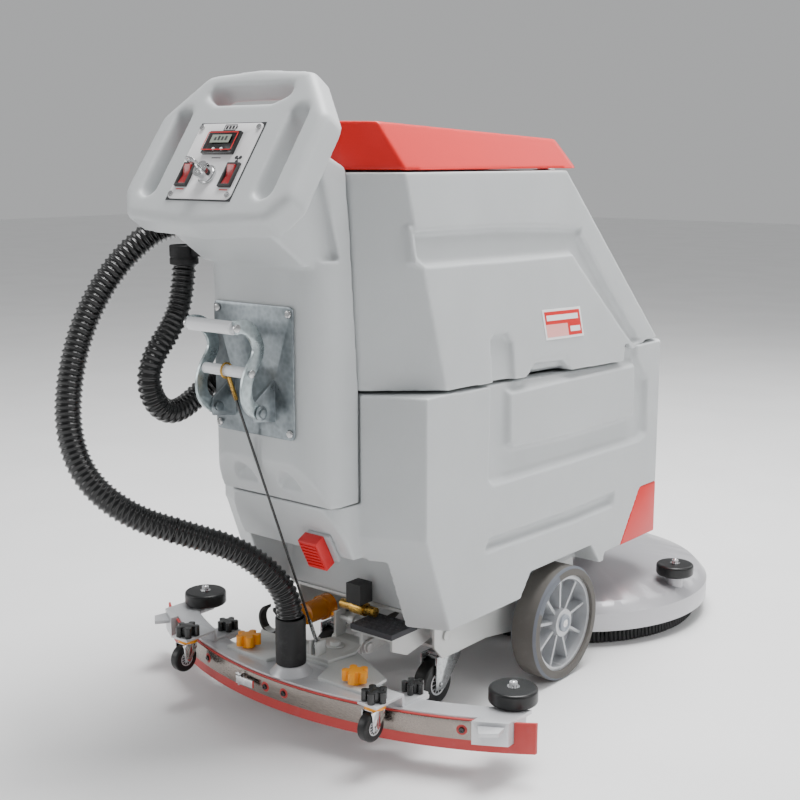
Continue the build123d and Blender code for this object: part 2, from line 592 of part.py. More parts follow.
def lever_bolts():
    """The two pivot bolts of the lever, with washers."""
    bolts = []
    for side in (1, -1):
        inner = side * (LEVER_X - SIDE_GAP - 4)
        outer = side * (LEVER_X + LEVER_T + SIDE_GAP)
        shaft = rod((inner, LEVER_Y, LEVER_Z), (outer, LEVER_Y, LEVER_Z), BOLT_R)
        washer = rod((outer, LEVER_Y, LEVER_Z), (outer + side * 2, LEVER_Y, LEVER_Z), 11)
        head = rod((outer + side * 2, LEVER_Y, LEVER_Z), (outer + side * 7, LEVER_Y, LEVER_Z), 6.5)
        nut = rod((inner, LEVER_Y, LEVER_Z), (inner - side * 5, LEVER_Y, LEVER_Z), 7)
        bolts.append(fused(shaft, washer, head, nut))
    return bolts


def lever_arm(side):
    """One curved side arm of the lever."""
    with BuildSketch(Plane.YZ.offset(LEVER_X)) as profile:
        with BuildLine():
            Spline((LEVER_Y, LEVER_Z), (-563, 560), (CROSS_Y, CROSS_Z), (-538, 621),
                   (-550, 648), (GRIP_BAR_Y, GRIP_BAR_Z))
        trace(line_width=20)
    arm = extrude(profile.sketch, LEVER_T)
    arm -= rod((0, LEVER_Y, LEVER_Z), (80, LEVER_Y, LEVER_Z), BOLT_R + RUN_GAP)
    return arm if side > 0 else mirrored(arm)


def lever_tube(y, z, radius):
    """A plastic sleeve between the arms."""
    return rod((-LEVER_X, y, z), (LEVER_X, y, z), radius)


def lever_screws():
    """The screws that hold the two sleeves to the arms."""
    screws = []
    for y, z in ((CROSS_Y, CROSS_Z), (GRIP_BAR_Y, GRIP_BAR_Z)):
        for side in (-1, 1):
            face = side * (LEVER_X + LEVER_T)
            screws.append(rod((face, y, z), (face + side * 4, y, z), 6))
    return screws


def cable_direction():
    """The unit vector from the cross tube down to the lug, as (y, z)."""
    dy, dz = LUG_Y - CROSS_Y, LUG_Z - CROSS_Z
    length = hypot(dy, dz)
    return dy / length, dz / length, length


def lift_cable():
    """The wire rope with its upper loop, ferrule and lower eye bolt."""
    uy, uz, length = cable_direction()

    def along(t):
        return (0, CROSS_Y + uy * t, CROSS_Z + uz * t)

    loop = Torus(CROSS_R + 2.6, 1.6)
    loop = Pos(0, CROSS_Y, CROSS_Z) * Rot(0, 90, 0) * loop
    ferrule = rod(along(CROSS_R + 2), along(48), 3.5)
    wire = rod(along(46), along(length - 50), CABLE_R)
    shank = rod(along(length - 52), along(length - 6.5), 3)
    eye = Pos(0, LUG_Y, LUG_Z) * Rot(0, 90, 0) * Torus(6.6, 2.4)
    return fused(loop, ferrule, wire, shank, eye)


# ---- squeegee linkage ---------------------------------------------------------------------
def bar_link(y0, z0, y1, z1, x0, x1, width, bore):
    """A flat link with rounded ends and a bore at each end."""
    dy, dz = y1 - y0, z1 - z0
    length = hypot(dy, dz)
    ny, nz = -dz / length * width / 2, dy / length * width / 2
    strap = prism_x([(y0 + ny, z0 + nz), (y1 + ny, z1 + nz), (y1 - ny, z1 - nz), (y0 - ny, z0 - nz)],
                    x0, x1)
    ends = [rod((x0, y, z), (x1, y, z), width / 2) for y, z in ((y0, z0), (y1, z1))]
    link = fused(strap, *ends)
    for y, z in ((y0, z0), (y1, z1)):
        link -= rod((x0 - 1, y, z), (x1 + 1, y, z), bore + RUN_GAP)
    return link


def lift_arm():
    """The two lower links of the squeegee lift."""
    right = bar_link(LIFT_Y, LIFT_Z, YOKE_Y, YOKE_Z, ARM_X, ARM_X + SHEET, 22, PIN_R)
    tie = rod((-ARM_X, -205, 110), (ARM_X, -205, 110), 5)
    return fused(right, tie, mirrored(right))


def level_link():
    """The upper link, which keeps the squeegee level."""
    return bar_link(LIFT_Y, LIFT_Z + LINK_RISE, YOKE_Y, YOKE_Z + LINK_RISE, -6, 6, 16, BOLT_R)


def squeegee_yoke():
    """The bracket behind the links, with the cable's lug and the swing bolt's hole."""
    ear_x = ARM_X - SIDE_GAP
    top = BEAM_Z + BEAM_T + SHEET + SIDE_GAP
    plate = prism_z(both_sides([(0, YOKE_Y + 12), (ear_x, YOKE_Y + 12), (ear_x, -305), (43, -332),
                                (34, LUG_Y - 12), (0, LUG_Y - 12)]), top, top + SHEET)
    pieces = [plate]
    for side in (1, -1):
        a, b = sorted((side * ear_x, side * (ear_x - SHEET)))
        pieces.append(box(a, b, YOKE_Y - 12, YOKE_Y + 12, 90, YOKE_Z + LINK_RISE + 12))
        a, b = sorted((side * 4.5, side * 8.0))
        pieces.append(box(a, b, LUG_Y - 11, LUG_Y + 11, top + SHEET, LUG_Z + 9))
    yoke = fused(*pieces)
    yoke -= rod((0, SWING_Y, 90), (0, SWING_Y, 120), 6 + RUN_GAP)
    yoke -= rod((-50, YOKE_Y, YOKE_Z), (50, YOKE_Y, YOKE_Z), PIN_R)
    yoke -= rod((-50, YOKE_Y, YOKE_Z + LINK_RISE), (50, YOKE_Y, YOKE_Z + LINK_RISE), BOLT_R)
    return yoke - rod((-20, LUG_Y, LUG_Z), (20, LUG_Y, LUG_Z), 3)


def yoke_pins():
    """The two link pins and the cable pin that sit in the yoke."""
    inner = ARM_X - SIDE_GAP
    upper = rod((-inner, YOKE_Y, YOKE_Z + LINK_RISE), (inner, YOKE_Y, YOKE_Z + LINK_RISE), BOLT_R)
    cable = rod((-8, LUG_Y, LUG_Z), (8, LUG_Y, LUG_Z), 3)
    return [cross_pin(YOKE_Y, YOKE_Z, ARM_X + SHEET + SIDE_GAP, PIN_R), upper, cable]


def swing_bolt():
    """The bolt, washer and nut that the squeegee swings on."""
    top = BEAM_Z + BEAM_T + 2 * SHEET + SIDE_GAP
    bolt = rod((0, SWING_Y, 88), (0, SWING_Y, top + 8), 6)
    washer = rod((0, SWING_Y, top + 0.3), (0, SWING_Y, top + 2.3), 15)
    head = rod((0, SWING_Y, top + 2.3), (0, SWING_Y, top + 8), 9)
    nut = rod((0, SWING_Y, 88), (0, SWING_Y, BEAM_Z + BEAM_T), 10)
    return fused(bolt, washer, head, nut)


# ---- squeegee -----------------------------------------------------------------------------
def carrier_plate():
    """The steel plate that carries the squeegee, with a notch round the suction port."""
    z0 = BEAM_Z + BEAM_T
    plate = prism_z(both_sides([(0, -312), (22, -312), (142, -372), (148, -434), (56, -434),
                                (40, -391), (0, -391)]), z0, z0 + SHEET)
    plate -= rod((0, SWING_Y, 90), (0, SWING_Y, 110), 6)
    for x in (-KNOB_X, KNOB_X):
        plate -= rod((x, KNOB_Y, 90), (x, KNOB_Y, 110), 5 + RUN_GAP)
    return plate


def squeegee_beam():
    """The cast aluminium beam with its suction port, tabs, end blocks and bumper arms."""
    flange = arc_sector(650, 686, BEAM_HALF, BEAM_Z, BEAM_Z + BEAM_T)
    web = arc_sector(680, 686, BEAM_HALF - 40, 62, BEAM_Z + BEAM_T)
    front = arc_sector(646, 651, BEAM_HALF - 40, 66, BEAM_Z + BEAM_T)
    wing = box(-152, 152, -446, -386, BEAM_Z, BEAM_Z + BEAM_T)
    flare = Pos(0, PORT_Y, BEAM_Z + BEAM_T + 7) * Cone(34, PORT_R + 1, 14)
    port = rod((0, PORT_Y, BEAM_Z), (0, PORT_Y, 150), PORT_R)
    pieces = [flange, web, front, wing, flare, port]
    for side in (1, -1):
        tab = box(FOOT_X - 19, FOOT_X + 19, -425, CLAMP_Y + 14, BEAM_Z, BEAM_Z + BEAM_T)
        block = arc_sector(662, 700, BEAM_HALF, 60, BEAM_Z + BEAM_T) & box(326, 400, -460, -200, 0, 200)
        arm = prism_z([(350, -418), (372, -400), (BUMPER_X + 16, BUMPER_Y + 12),
                       (BUMPER_X - 9, BUMPER_Y + 12), (327, -389)], 84, BEAM_Z)
        post = rod((BUMPER_X, BUMPER_Y, 84), (BUMPER_X, BUMPER_Y, 129), 6)
        group = fused(block, arm, post)
        for item in (tab, group):
            pieces.append(item if side > 0 else mirrored(item))
    beam = fused(*pieces)
    beam -= rod((0, PORT_Y, 60), (0, PORT_Y, 151), PORT_R - 3)
    for x in (-KNOB_X, KNOB_X):
        beam -= rod((x, KNOB_Y, 80), (x, KNOB_Y, 100), 5 + RUN_GAP)
    for x in (-FOOT_X, FOOT_X):
        beam -= rod((x, CLAMP_Y, 80), (x, CLAMP_Y, 100), 4 + RUN_GAP)
    return beam


def rear_blade():
    """The rear rubber blade."""
    return arc_sector(BLADE_R - BLADE_T, BLADE_R, BLADE_HALF, RAISED, RAISED + BLADE_H) - box(
        324, 373, -460, -200, 59.5, 200) - box(-373, -324, -460, -200, 59.5, 200)


def front_blade():
    """The front rubber blade."""
    return arc_sector(642, 646, BEAM_HALF - 47, RAISED, BEAM_Z - 1)


def blade_strap():
    """The stainless strap that clamps the rear blade."""
    return arc_sector(BLADE_R, BLADE_R + 1.2, 323, 62, 91)


def hose_cuff():
    """The rubber cuff that joins the suction hose to the port."""
    cuff = rod((0, PORT_Y, 111), (0, PORT_Y, 186), 24)
    cuff -= rod((0, PORT_Y, 110), (0, PORT_Y, 150), PORT_R)
    cuff -= rod((0, PORT_Y, 149), (0, PORT_Y, 195), PORT_R)
    return cuff


def foot_bracket(side):
    """The stepped bracket that holds a squeegee castor behind the blade."""
    z0, lift = BEAM_Z + BEAM_T, 16
    profile = [(CLAMP_Y + 13, z0), (CLAMP_Y + 13, z0 + 4), (-422, z0 + 4), (-426, z0 + lift + 4),
               (FOOT_Y - 18, z0 + lift + 4), (FOOT_Y - 18, z0 + lift), (-430, z0 + lift), (-428, z0)]
    bracket = prism_x(profile, FOOT_X - 18, FOOT_X + 18)
    bracket -= rod((FOOT_X, FOOT_Y, 90), (FOOT_X, FOOT_Y, 130), 5 + RUN_GAP)
    bracket -= rod((FOOT_X, CLAMP_Y, 90), (FOOT_X, CLAMP_Y, 110), 4 + RUN_GAP)
    return bracket if side > 0 else mirrored(bracket)


def height_knob():
    """The black star knob above a squeegee castor, on its threaded stem."""
    top = BEAM_Z + BEAM_T + 20
    knob = star((FOOT_X, FOOT_Y), 20, top + 0.4, top + 17)
    stem = rod((FOOT_X, FOOT_Y, 106), (FOOT_X, FOOT_Y, top + 5), 5)
    return fused(knob, stem)


def height_wheel():
    """The yellow serrated wheel below a squeegee castor's bracket."""
    return rod((FOOT_X, FOOT_Y, 106), (FOOT_X, FOOT_Y, 111.6), 16)


def foot_fork():
    """A squeegee castor's fork with its wheel pin."""
    wheel_y, wheel_z = FOOT_Y - FOOT_TRAIL, FOOT_LOW + FOOT_R
    inner = FOOT_W / 2 + 0.6
    disc = rod((FOOT_X, FOOT_Y, 103.4), (FOOT_X, FOOT_Y, 105.7), 12)
    pieces = [disc, box(FOOT_X - inner - 2, FOOT_X + inner + 2, wheel_y - 4, FOOT_Y + 10, 103.4, 105)]
    for s in (-1, 1):
        a, b = sorted((FOOT_X + s * inner, FOOT_X + s * (inner + 2)))
        pieces.append(prism_x([(FOOT_Y + 10, 105), (wheel_y - 8, 105), (wheel_y - 6, wheel_z - 5),
                               (wheel_y + 6, wheel_z - 5), (FOOT_Y + 10, 95)], a, b))
    pieces.append(rod((FOOT_X - inner - 4, wheel_y, wheel_z), (FOOT_X + inner + 4, wheel_y, wheel_z), 3))
    return fused(*pieces)


def foot_wheel():
    """A squeegee castor's wheel."""
    y, z = FOOT_Y - FOOT_TRAIL, FOOT_LOW + FOOT_R
    wheel = rod((FOOT_X - FOOT_W / 2, y, z), (FOOT_X + FOOT_W / 2, y, z), FOOT_R - 0.6)
    wheel = chamfer(wheel.edges(), 2)
    return wheel - rod((FOOT_X - 20, y, z), (FOOT_X + 20, y, z), 3 + RUN_GAP)


def clamp_knob():
    """The black star knob that clamps a castor bracket."""
    z0 = BEAM_Z + BEAM_T + 4
    knob = star((FOOT_X, CLAMP_Y), 18, z0 + 0.4, z0 + 16)
    return fused(knob, rod((FOOT_X, CLAMP_Y, 84), (FOOT_X, CLAMP_Y, z0 + 3), 4))


def squeegee_knob():
    """The yellow star knob that holds the squeegee on its carrier."""
    z0 = BEAM_Z + BEAM_T + SHEET
    knob = star((KNOB_X, KNOB_Y), KNOB_R, z0 + 5, z0 + 22)
    neck = rod((KNOB_X, KNOB_Y, z0 + 0.4), (KNOB_X, KNOB_Y, z0 + 7), 11)
    bolt = rod((KNOB_X, KNOB_Y, 90), (KNOB_X, KNOB_Y, z0 + 3), 5)
    return fused(knob, neck, bolt)


def bumper_roller():
    """A soft roller on a squeegee end."""
    z0 = BEAM_Z + BEAM_T + 1
    wheel = rod((BUMPER_X, BUMPER_Y, z0), (BUMPER_X, BUMPER_Y, z0 + BUMPER_H), BUMPER_R)
    wheel = fillet(wheel.edges(), 5)
    return wheel - rod((BUMPER_X, BUMPER_Y, 80), (BUMPER_X, BUMPER_Y, 130), 6 + RUN_GAP)


def hose_clip():
    """The open plastic clip beside the suction port, on its foot."""
    x, y, z = -125, -352, 128
    ring = rod((x, y - 7, z), (x, y + 7, z), 25) - rod((x, y - 8, z), (x, y + 8, z), 20)
    ring -= box(x - 9, x + 9, y - 10, y + 10, z, z + 40)
    foot = box(x - 18, x + 18, y - 9, y + 9, 101, 108)
    plate = box(x - 24, x + 24, y - 36, y + 12, 96, 101)
    return fused(ring, foot, plate) - carrier_plate()


def toggle_latch():
    """The strap's toggle: fixed hinge block, and the lever that swings."""
    r = BLADE_R + 1.2
    x = -62
    y = BLADE_CY - sqrt(r * r - x * x)
    block = box(x - 20, x - 8, y - 7, y + 1.0, 68, 86)
    block -= arc_sector(600, r, 200, 60, 100)
    pin = rod((x - 14, y - 6, 66), (x - 14, y - 6, 88), 2)
    hand = box(x - 10, x + 22, y - 11, y - 8, 71, 83)
    hand = fused(hand, rod((x - 14, y - 6, 71), (x - 14, y - 6, 83), 4.5),
                 box(x - 14, x - 8, y - 10.5, y - 8, 71, 83))
    hand -= rod((x - 14, y - 6, 60), (x - 14, y - 6, 90), 2 + RUN_GAP)
    block -= box(x - 20, x - 8, y - 16, y - 0.8, 70.6, 83.4)
    return fused(block, pin), hand


# ---- brush deck ---------------------------------------------------------------------------
def deck_shroud():
    """The round deck cover, a thin shell with bosses for the side rollers."""
    outer = [(0, DECK_TOP + 4), (120, DECK_TOP + 4), (205, 100), (266, 84), (DECK_R, 66),
             (DECK_R, DECK_LOW)]
    inner = [(DECK_R - 4, DECK_LOW), (DECK_R - 4, 64), (263, 80), (203, 96), (120, DECK_TOP),
             (0, DECK_TOP)]
    section = Face(Wire.make_polygon([Vector(r, 0, z) for r, z in outer + inner]))
    shell = Pos(0, DECK_Y, 0) * Solid.revolve(section, 360, Axis.Z)
    for side in (1, -1):
        boss = rod((side * ROLLER_X, ROLLER_Y, 76), (side * ROLLER_X, ROLLER_Y, 104), 16)
        post = rod((side * ROLLER_X, ROLLER_Y, 100), (side * ROLLER_X, ROLLER_Y, 134), 6)
        shell += fused(boss, post)
    return shell - rod((0, DECK_Y, 90), (0, DECK_Y, 130), 18)


def deck_roller():
    """A soft roller on the deck's side."""
    wheel = rod((ROLLER_X, ROLLER_Y, 105), (ROLLER_X, ROLLER_Y, 105 + ROLLER_H), ROLLER_R)
    wheel = fillet(wheel.edges(), 5)
    return wheel - rod((ROLLER_X, ROLLER_Y, 90), (ROLLER_X, ROLLER_Y, 140), 6 + RUN_GAP)


def brush_motor():
    """The drive motor on the deck."""
    can = Pos(0, DECK_Y, (DECK_TOP + 4 + MOTOR_TOP) / 2) * Cylinder(MOTOR_R, MOTOR_TOP - DECK_TOP - 4)
    return fillet(can.edges().group_by(Axis.Z)[-1], 6)


def deck_bracket():
    """The bracket between the deck and its links, with its pins."""
    base = box(-65, 65, 200, 296, DECK_TOP + 4, DECK_TOP + 8)
    base -= Pos(0, DECK_Y, 110) * Cylinder(MOTOR_R + 1, 40)
    pieces = [base]
    for side in (1, -1):
        a, b = sorted((side * 60, side * 65))
        pieces.append(prism_x([(178, 138), (178, 160), (202, 160), (290, DECK_TOP + 14),
                               (290, DECK_TOP + 4), (198, DECK_TOP + 4)], a, b))
        a, b = sorted((side * 8, side * 12))
        pieces.append(prism_x([(180, 118), (180, 136), (205, 136), (240, DECK_TOP + 8),
                               (240, DECK_TOP + 4), (198, DECK_TOP + 4)], a, b))
    for half, z, r in ((DECK_ARM_X + SHEET + 2, DECK_LINK_Z, PIN_R), (12, DECK_TIE_Z, BOLT_R)):
        pieces.append(rod((-half, DECK_YOKE_Y, z), (half, DECK_YOKE_Y, z), r))
    return fused(*pieces)


def deck_link():
    """The two lifting links of the deck."""
    right = bar_link(DECK_LINK_Y, DECK_LINK_Z, DECK_YOKE_Y, DECK_LINK_Z, DECK_ARM_X,
                     DECK_ARM_X + SHEET, 20, PIN_R)
    tie = rod((-DECK_ARM_X, 110, DECK_LINK_Z), (DECK_ARM_X, 110, DECK_LINK_Z), 5)
    return fused(right, tie, mirrored(right))


def deck_tie():
    """The middle link that keeps the deck level."""
    return bar_link(DECK_LINK_Y, DECK_TIE_Z, DECK_YOKE_Y, DECK_TIE_Z, -6, 6, 14, BOLT_R)


def brush_disc():
    """The brush's backing disc with its drive hub."""
    disc = Pos(0, DECK_Y, 56) * Cylinder(BRUSH_R, 10)
    hub = rod((0, DECK_Y, 60), (0, DECK_Y, DECK_TOP + 3), 12)
    return fused(disc, hub)


def bristle_ring():
    """The bristles, as one flared ring."""
    section = Face(Wire.make_polygon([Vector(r, 0, z) for r, z in (
        (120, 51), (258, 51), (273, BRUSH_LOW), (116, BRUSH_LOW))]))
    return Pos(0, DECK_Y, 0) * Solid.revolve(section, 360, Axis.Z)


def deck_pedal():
    """The foot pedal: pad plate, side cheek and boss."""
    pad = box(PEDAL_X - 43, PEDAL_X + 43, -338, -278, 144, 148)
    cheek = prism_x([(-336, 144), (-336, 128), (-300, 112), (PEDAL_Y - 10, PEDAL_Z - 10),
                     (PEDAL_Y + 10, PEDAL_Z - 6), (PEDAL_Y + 8, PEDAL_Z + 10), (-278, 148)],
                    PEDAL_X + 36, PEDAL_X + 41)
    boss = rod((PEDAL_X + 33, PEDAL_Y, PEDAL_Z), (RAIL_X - SIDE_GAP, PEDAL_Y, PEDAL_Z), 11)
    pedal = fused(pad, cheek, boss)
    return pedal - rod((PEDAL_X + 20, PEDAL_Y, PEDAL_Z), (RAIL_X + 10, PEDAL_Y, PEDAL_Z), PIN_R + RUN_GAP)


def pedal_pad():
    """The ribbed rubber pad on the pedal."""
    return box(PEDAL_X - 43, PEDAL_X + 43, -340, -276, 148, 157)


# ---- water and electrical parts -----------------------------------------------------------
def solution_filter():
    """The clear filter bowl and its cap."""
    bowl = rod((-62, -338, 148), (-62, -300, 148), 18)
    head = rod((-62, -300, 148), (-62, BAY_WALL_Y, 148), 21)
    return fused(bowl, head)


def solenoid_valve():
    """The brass valve body on its pipe."""
    body = rod((-6, -308, 172), (66, -308, 172), 8)
    nut = rod((18, -308, 172), (46, -308, 172), 11)
    stub = rod((-2, -308, 172), (-2, BAY_WALL_Y, 172), 6)
    return fused(body, nut, stub)


def solenoid_coil():
    """The valve's coil."""
    return box(17, 47, -324, -294, 183, 216)


def neck_place(x, z):
    """A frame on the neck's sloping rear face, its -Y side facing out."""
    rear = COLUMN_REAR + (KNEE_Z - COLUMN_BASE_Z) * 0.57
    return Pos(x, rear + (COLUMN_BASE_Z - 2 - z) * NECK_SLOPE, z) * Rot(degrees(atan2(NECK_SLOPE, 1)), 0, 0)


def charge_plug():
    """The two-pole charging connector on the neck."""
    return neck_place(62, 316) * Pos(0, -16, -4) * Box(38, 20, 54)


def charge_mount():
    """The grey block behind the charging connector."""
    return neck_place(62, 316) * Pos(6, -3, -2) * Box(46, 6, 50)


def hose_socket(column):
    """The suction outlet on the column's left wall."""
    return rod((-COLUMN_HALF + 14, -455, 792), (-134, -455, 792), 24) - column


def drain_holder(column):
    """The clip arm that carries the drain hose's upper end."""
    return box(-142.0, -90, -492, -480, 742, 754) - column


def drain_socket():
    """The drain outlet low on the column's left wall."""
    return rod((-COLUMN_HALF, -425, 548), (-126, -425, 548), 18)


SUCTION_ROUTE = [(-134, -455, 792), (-180, -455, 792), (-221, -491, 782), (-250, -548, 728),
                 (-266, -598, 650), (-268, -631, 562), (-253, -650, 478), (-216, -647, 408),
                 (-162, -610, 356), (-103, -550, 326), (-52, -495, 300), (-14, -456, 256),
                 (0, PORT_Y, 210), (0, PORT_Y, 170)]
DRAIN_ROUTE = [(-164, -486, 728), (-165, -492, 672), (-166, -516, 630), (-167, -550, 594),
               (-168, -562, 556), (-169, -548, 518), (-170, -518, 500), (-172, -484, 506),
               (-170, -453, 526), (-160, -425, 548), (-126, -425, 548)]


def drain_cuff():
    """The rubber end piece of the drain hose."""
    return rod((-164, -486, 728), (-164, -486, 758), 22)


# ---- operator's panel ---------------------------------------------------------------------
def control_panel():
    """The panel plate with openings for the switches."""
    plate = Box(PANEL_W, PANEL_H, PANEL_T)
    plate = fillet(plate.edges().filter_by(Axis.Z), 8)
    for x in (-44, 44):
        plate -= Pos(x, -24, 0) * Box(20.6, 34.6, 10)
    plate -= Pos(0, -24, 0) * Cylinder(11, 10)
    plate -= Pos(0, 28, 0) * Box(50, 26, 10)
    return panel_place() * Pos(0, 0, PANEL_T / 2) * plate


def on_panel(shape, x, up, out):
    """Set a piece on the panel's face."""
    return panel_place() * Pos(x, up, PANEL_T + out) * shape


def panel_screws():
    """Four domed screws at the panel's corners."""
    half = PANEL_SCREW / 2
    return [on_panel(Cylinder(4, 2.4), x, y, 1.2) for x in (-half, half) for y in (-half + 2, half - 2)]


def display_unit():
    """The meter's bezel, with two button bores."""
    case = Box(62, 36, 5)
    body = Pos(0, 0, -6) * Box(49, 25, 12)
    unit = fused(case, body)
    for x in (-8, 8):
        unit -= Pos(x, -12, 0) * Cylinder(2.6, 20)
    return on_panel(unit, 0, 28, 2.5)


def display_button(x):
    """A small round meter button."""
    return on_panel(Cylinder(2.3, 5), x, 16, 4)


def switch_frame(x):
    """The black frame of a rocker switch, with its two pivot pins."""
    frame = Box(24, 38, 4) - Box(17.4, 31, 8)
    well = Pos(0, 0, -10) * (Box(20, 34, 18) - Pos(0, 0, 3) * Box(17.4, 31, 18))
    unit = fused(frame, well)
    for side in (-1, 1):
        unit += Pos(side * 8.5, 0, -3) * Rot(0, 90, 0) * Cylinder(1.2, 0.9)
    return on_panel(unit, x, -24, 2)


def rocker(x):
    """The red paddle of a rocker switch, tipped to one side."""
    half = prism([(-7.6, -14.5, 1), (-7.6, 0, -1), (-7.6, 14.5, 5.5), (-7.6, 14.5, 0), (-7.6, 0, -6),
                  (-7.6, -14.5, -4)], (15.2, 0, 0))
    return on_panel(half, x, -24, 2)


def key_switch():
    """The key switch's bezel and barrel."""
    bezel = Cylinder(15, 3)
    barrel = Pos(0, 0, 7) * Cylinder(12.5, 17)
    body = Pos(0, 0, -11) * Cylinder(10.8, 20)
    unit = fused(bezel, barrel, body)
    unit -= Pos(0, 0, 14) * Cylinder(7.2, 12)
    return on_panel(unit, 0, -24, 1.5)


def key():
    """The turning plug with the key in it."""
    plug = Pos(0, 0, 12) * Cylinder(7, 7)
    blade = Pos(0, 0, 22) * Box(7, 2, 16)
    bow = Pos(0, 0, 34) * Rot(90, 0, 0) * (Cylinder(9, 2.2) - Pos(0, 3.5, 0) * Cylinder(2.6, 4))
    return on_panel(fused(plug, blade, bow), 0, -24, 1.5)


# ---- build --------------------------------------------------------------------------------
def pair(name, maker):
    """Write a right-hand piece and its left-hand copy."""
    piece = maker()
    save(f"{name}_right", piece)
    save(f"{name}_left", mirrored(piece))


def build_bodies():
    """Moulded bodies and what they hold."""
    outer = lower_outer()
    save("lower_tank", lower_tank(outer))
    save("corner_trims", corner_trim(outer, 1), corner_trim(outer, -1))
    column = console_column()
    save("console_column", column, hose_socket(column), drain_holder(column), drain_socket())
    save("recovery_tank", recovery_tank())
    save("lid", lid())
    fixed, moving = tilt_hinges()
    save("tank_hinges_fixed", *fixed)
    save("tank_hinges_moving", *moving, *lid_hinges())
    save("batteries", battery(True), battery(False))
    save("vacuum_motor", vacuum_motor())
    save("strainer_basket", strainer_basket())


def build_chassis():
    """Chassis, wheels and castors."""
    save("chassis_frame", chassis_frame(), *linkage_pins())
    save("axle", axle())
    for side, name in ((1, "right"), (-1, "left")):
        save(f"main_wheel_{name}", wheel_hub(side), tyre(side))
        save(f"caster_fork_{name}", caster_fork(side))
        save(f"caster_wheel_{name}", caster_wheel(side))


def build_lever():
    """The lifting lever on the column."""
    screws = [screw_y(x, z, COLUMN_REAR - PLATE_T) for x in (-73, 73) for z in (498, 671)]
    save("latch_plate", latch_plate(), *screws, *lever_bolts())
    save("lift_lever", lever_arm(1), lever_arm(-1), lever_tube(GRIP_BAR_Y, GRIP_BAR_Z, GRIP_BAR_R),
         lever_tube(CROSS_Y, CROSS_Z, CROSS_R), *lever_screws())
    save("lift_cable", lift_cable())


def build_squeegee():
    """The squeegee, its linkage and its small rollers and knobs."""
    save("lift_arm", lift_arm())
    save("level_link", level_link())
    save("squeegee_yoke", squeegee_yoke(), *yoke_pins())
    save("carrier_plate", fused(carrier_plate(), swing_bolt()), hose_clip())
    save("squeegee_beam", squeegee_beam())
    save("squeegee_blades", rear_blade(), front_blade())
    save("hose_cuff", hose_cuff())
    block, hand = toggle_latch()
    save("beam_fittings", foot_bracket(1), foot_bracket(-1), blade_strap(), block)
    save("toggle_lever", hand)
    pair("squeegee_knob", squeegee_knob)
    pair("clamp_knob", clamp_knob)
    pair("height_knob", lambda: fused(height_knob(), height_wheel()))
    pair("foot_fork", foot_fork)
    pair("foot_wheel", foot_wheel)
    pair("bumper_roller", bumper_roller)


def build_deck():
    """The brush deck, its links and the pedal."""
    save("deck_shroud", deck_shroud(), deck_bracket())
    pair("deck_roller", deck_roller)
    save("brush_motor", brush_motor())
    save("deck_link", deck_link())
    save("deck_tie", deck_tie())
    save("brush", brush_disc(), bristle_ring())
    save("deck_pedal", deck_pedal(), pedal_pad())


def build_services():
    """Water, suction and electrical parts, and the operator's panel."""
    save("water_fittings", solution_filter(), solenoid_valve(), solenoid_coil())
    save("charge_connector", charge_plug(), charge_mount())
    save("suction_hose", hose("suction_hose", SUCTION_ROUTE, HOSE_R))
    save("drain_hose", hose("drain_hose", DRAIN_ROUTE, DRAIN_R), drain_cuff())
    save("control_panel", control_panel(), *panel_screws(), display_unit(), switch_frame(44),
         switch_frame(-44), key_switch())
    save("meter_button_left", display_button(-8))
    save("meter_button_right", display_button(8))
    save("rocker_right", rocker(44))
    save("rocker_left", rocker(-44))
    save("key", key())


build_bodies()
build_chassis()
build_lever()
build_squeegee()
build_deck()
build_services()
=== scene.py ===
"""The looks of a walk-behind floor scrubber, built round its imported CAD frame.

Every length inside this script is written in millimetres from the layout datum,
with +X to the operator's right, +Y forwards and +Z up. at() turns such a point
into the scene's metres.
"""

import json
import logging
import math
from dataclasses import dataclass, field
from enum import Enum
from itertools import product
from typing import Any, Callable, Dict, Iterable, List, Optional, Sequence, Tuple, Union

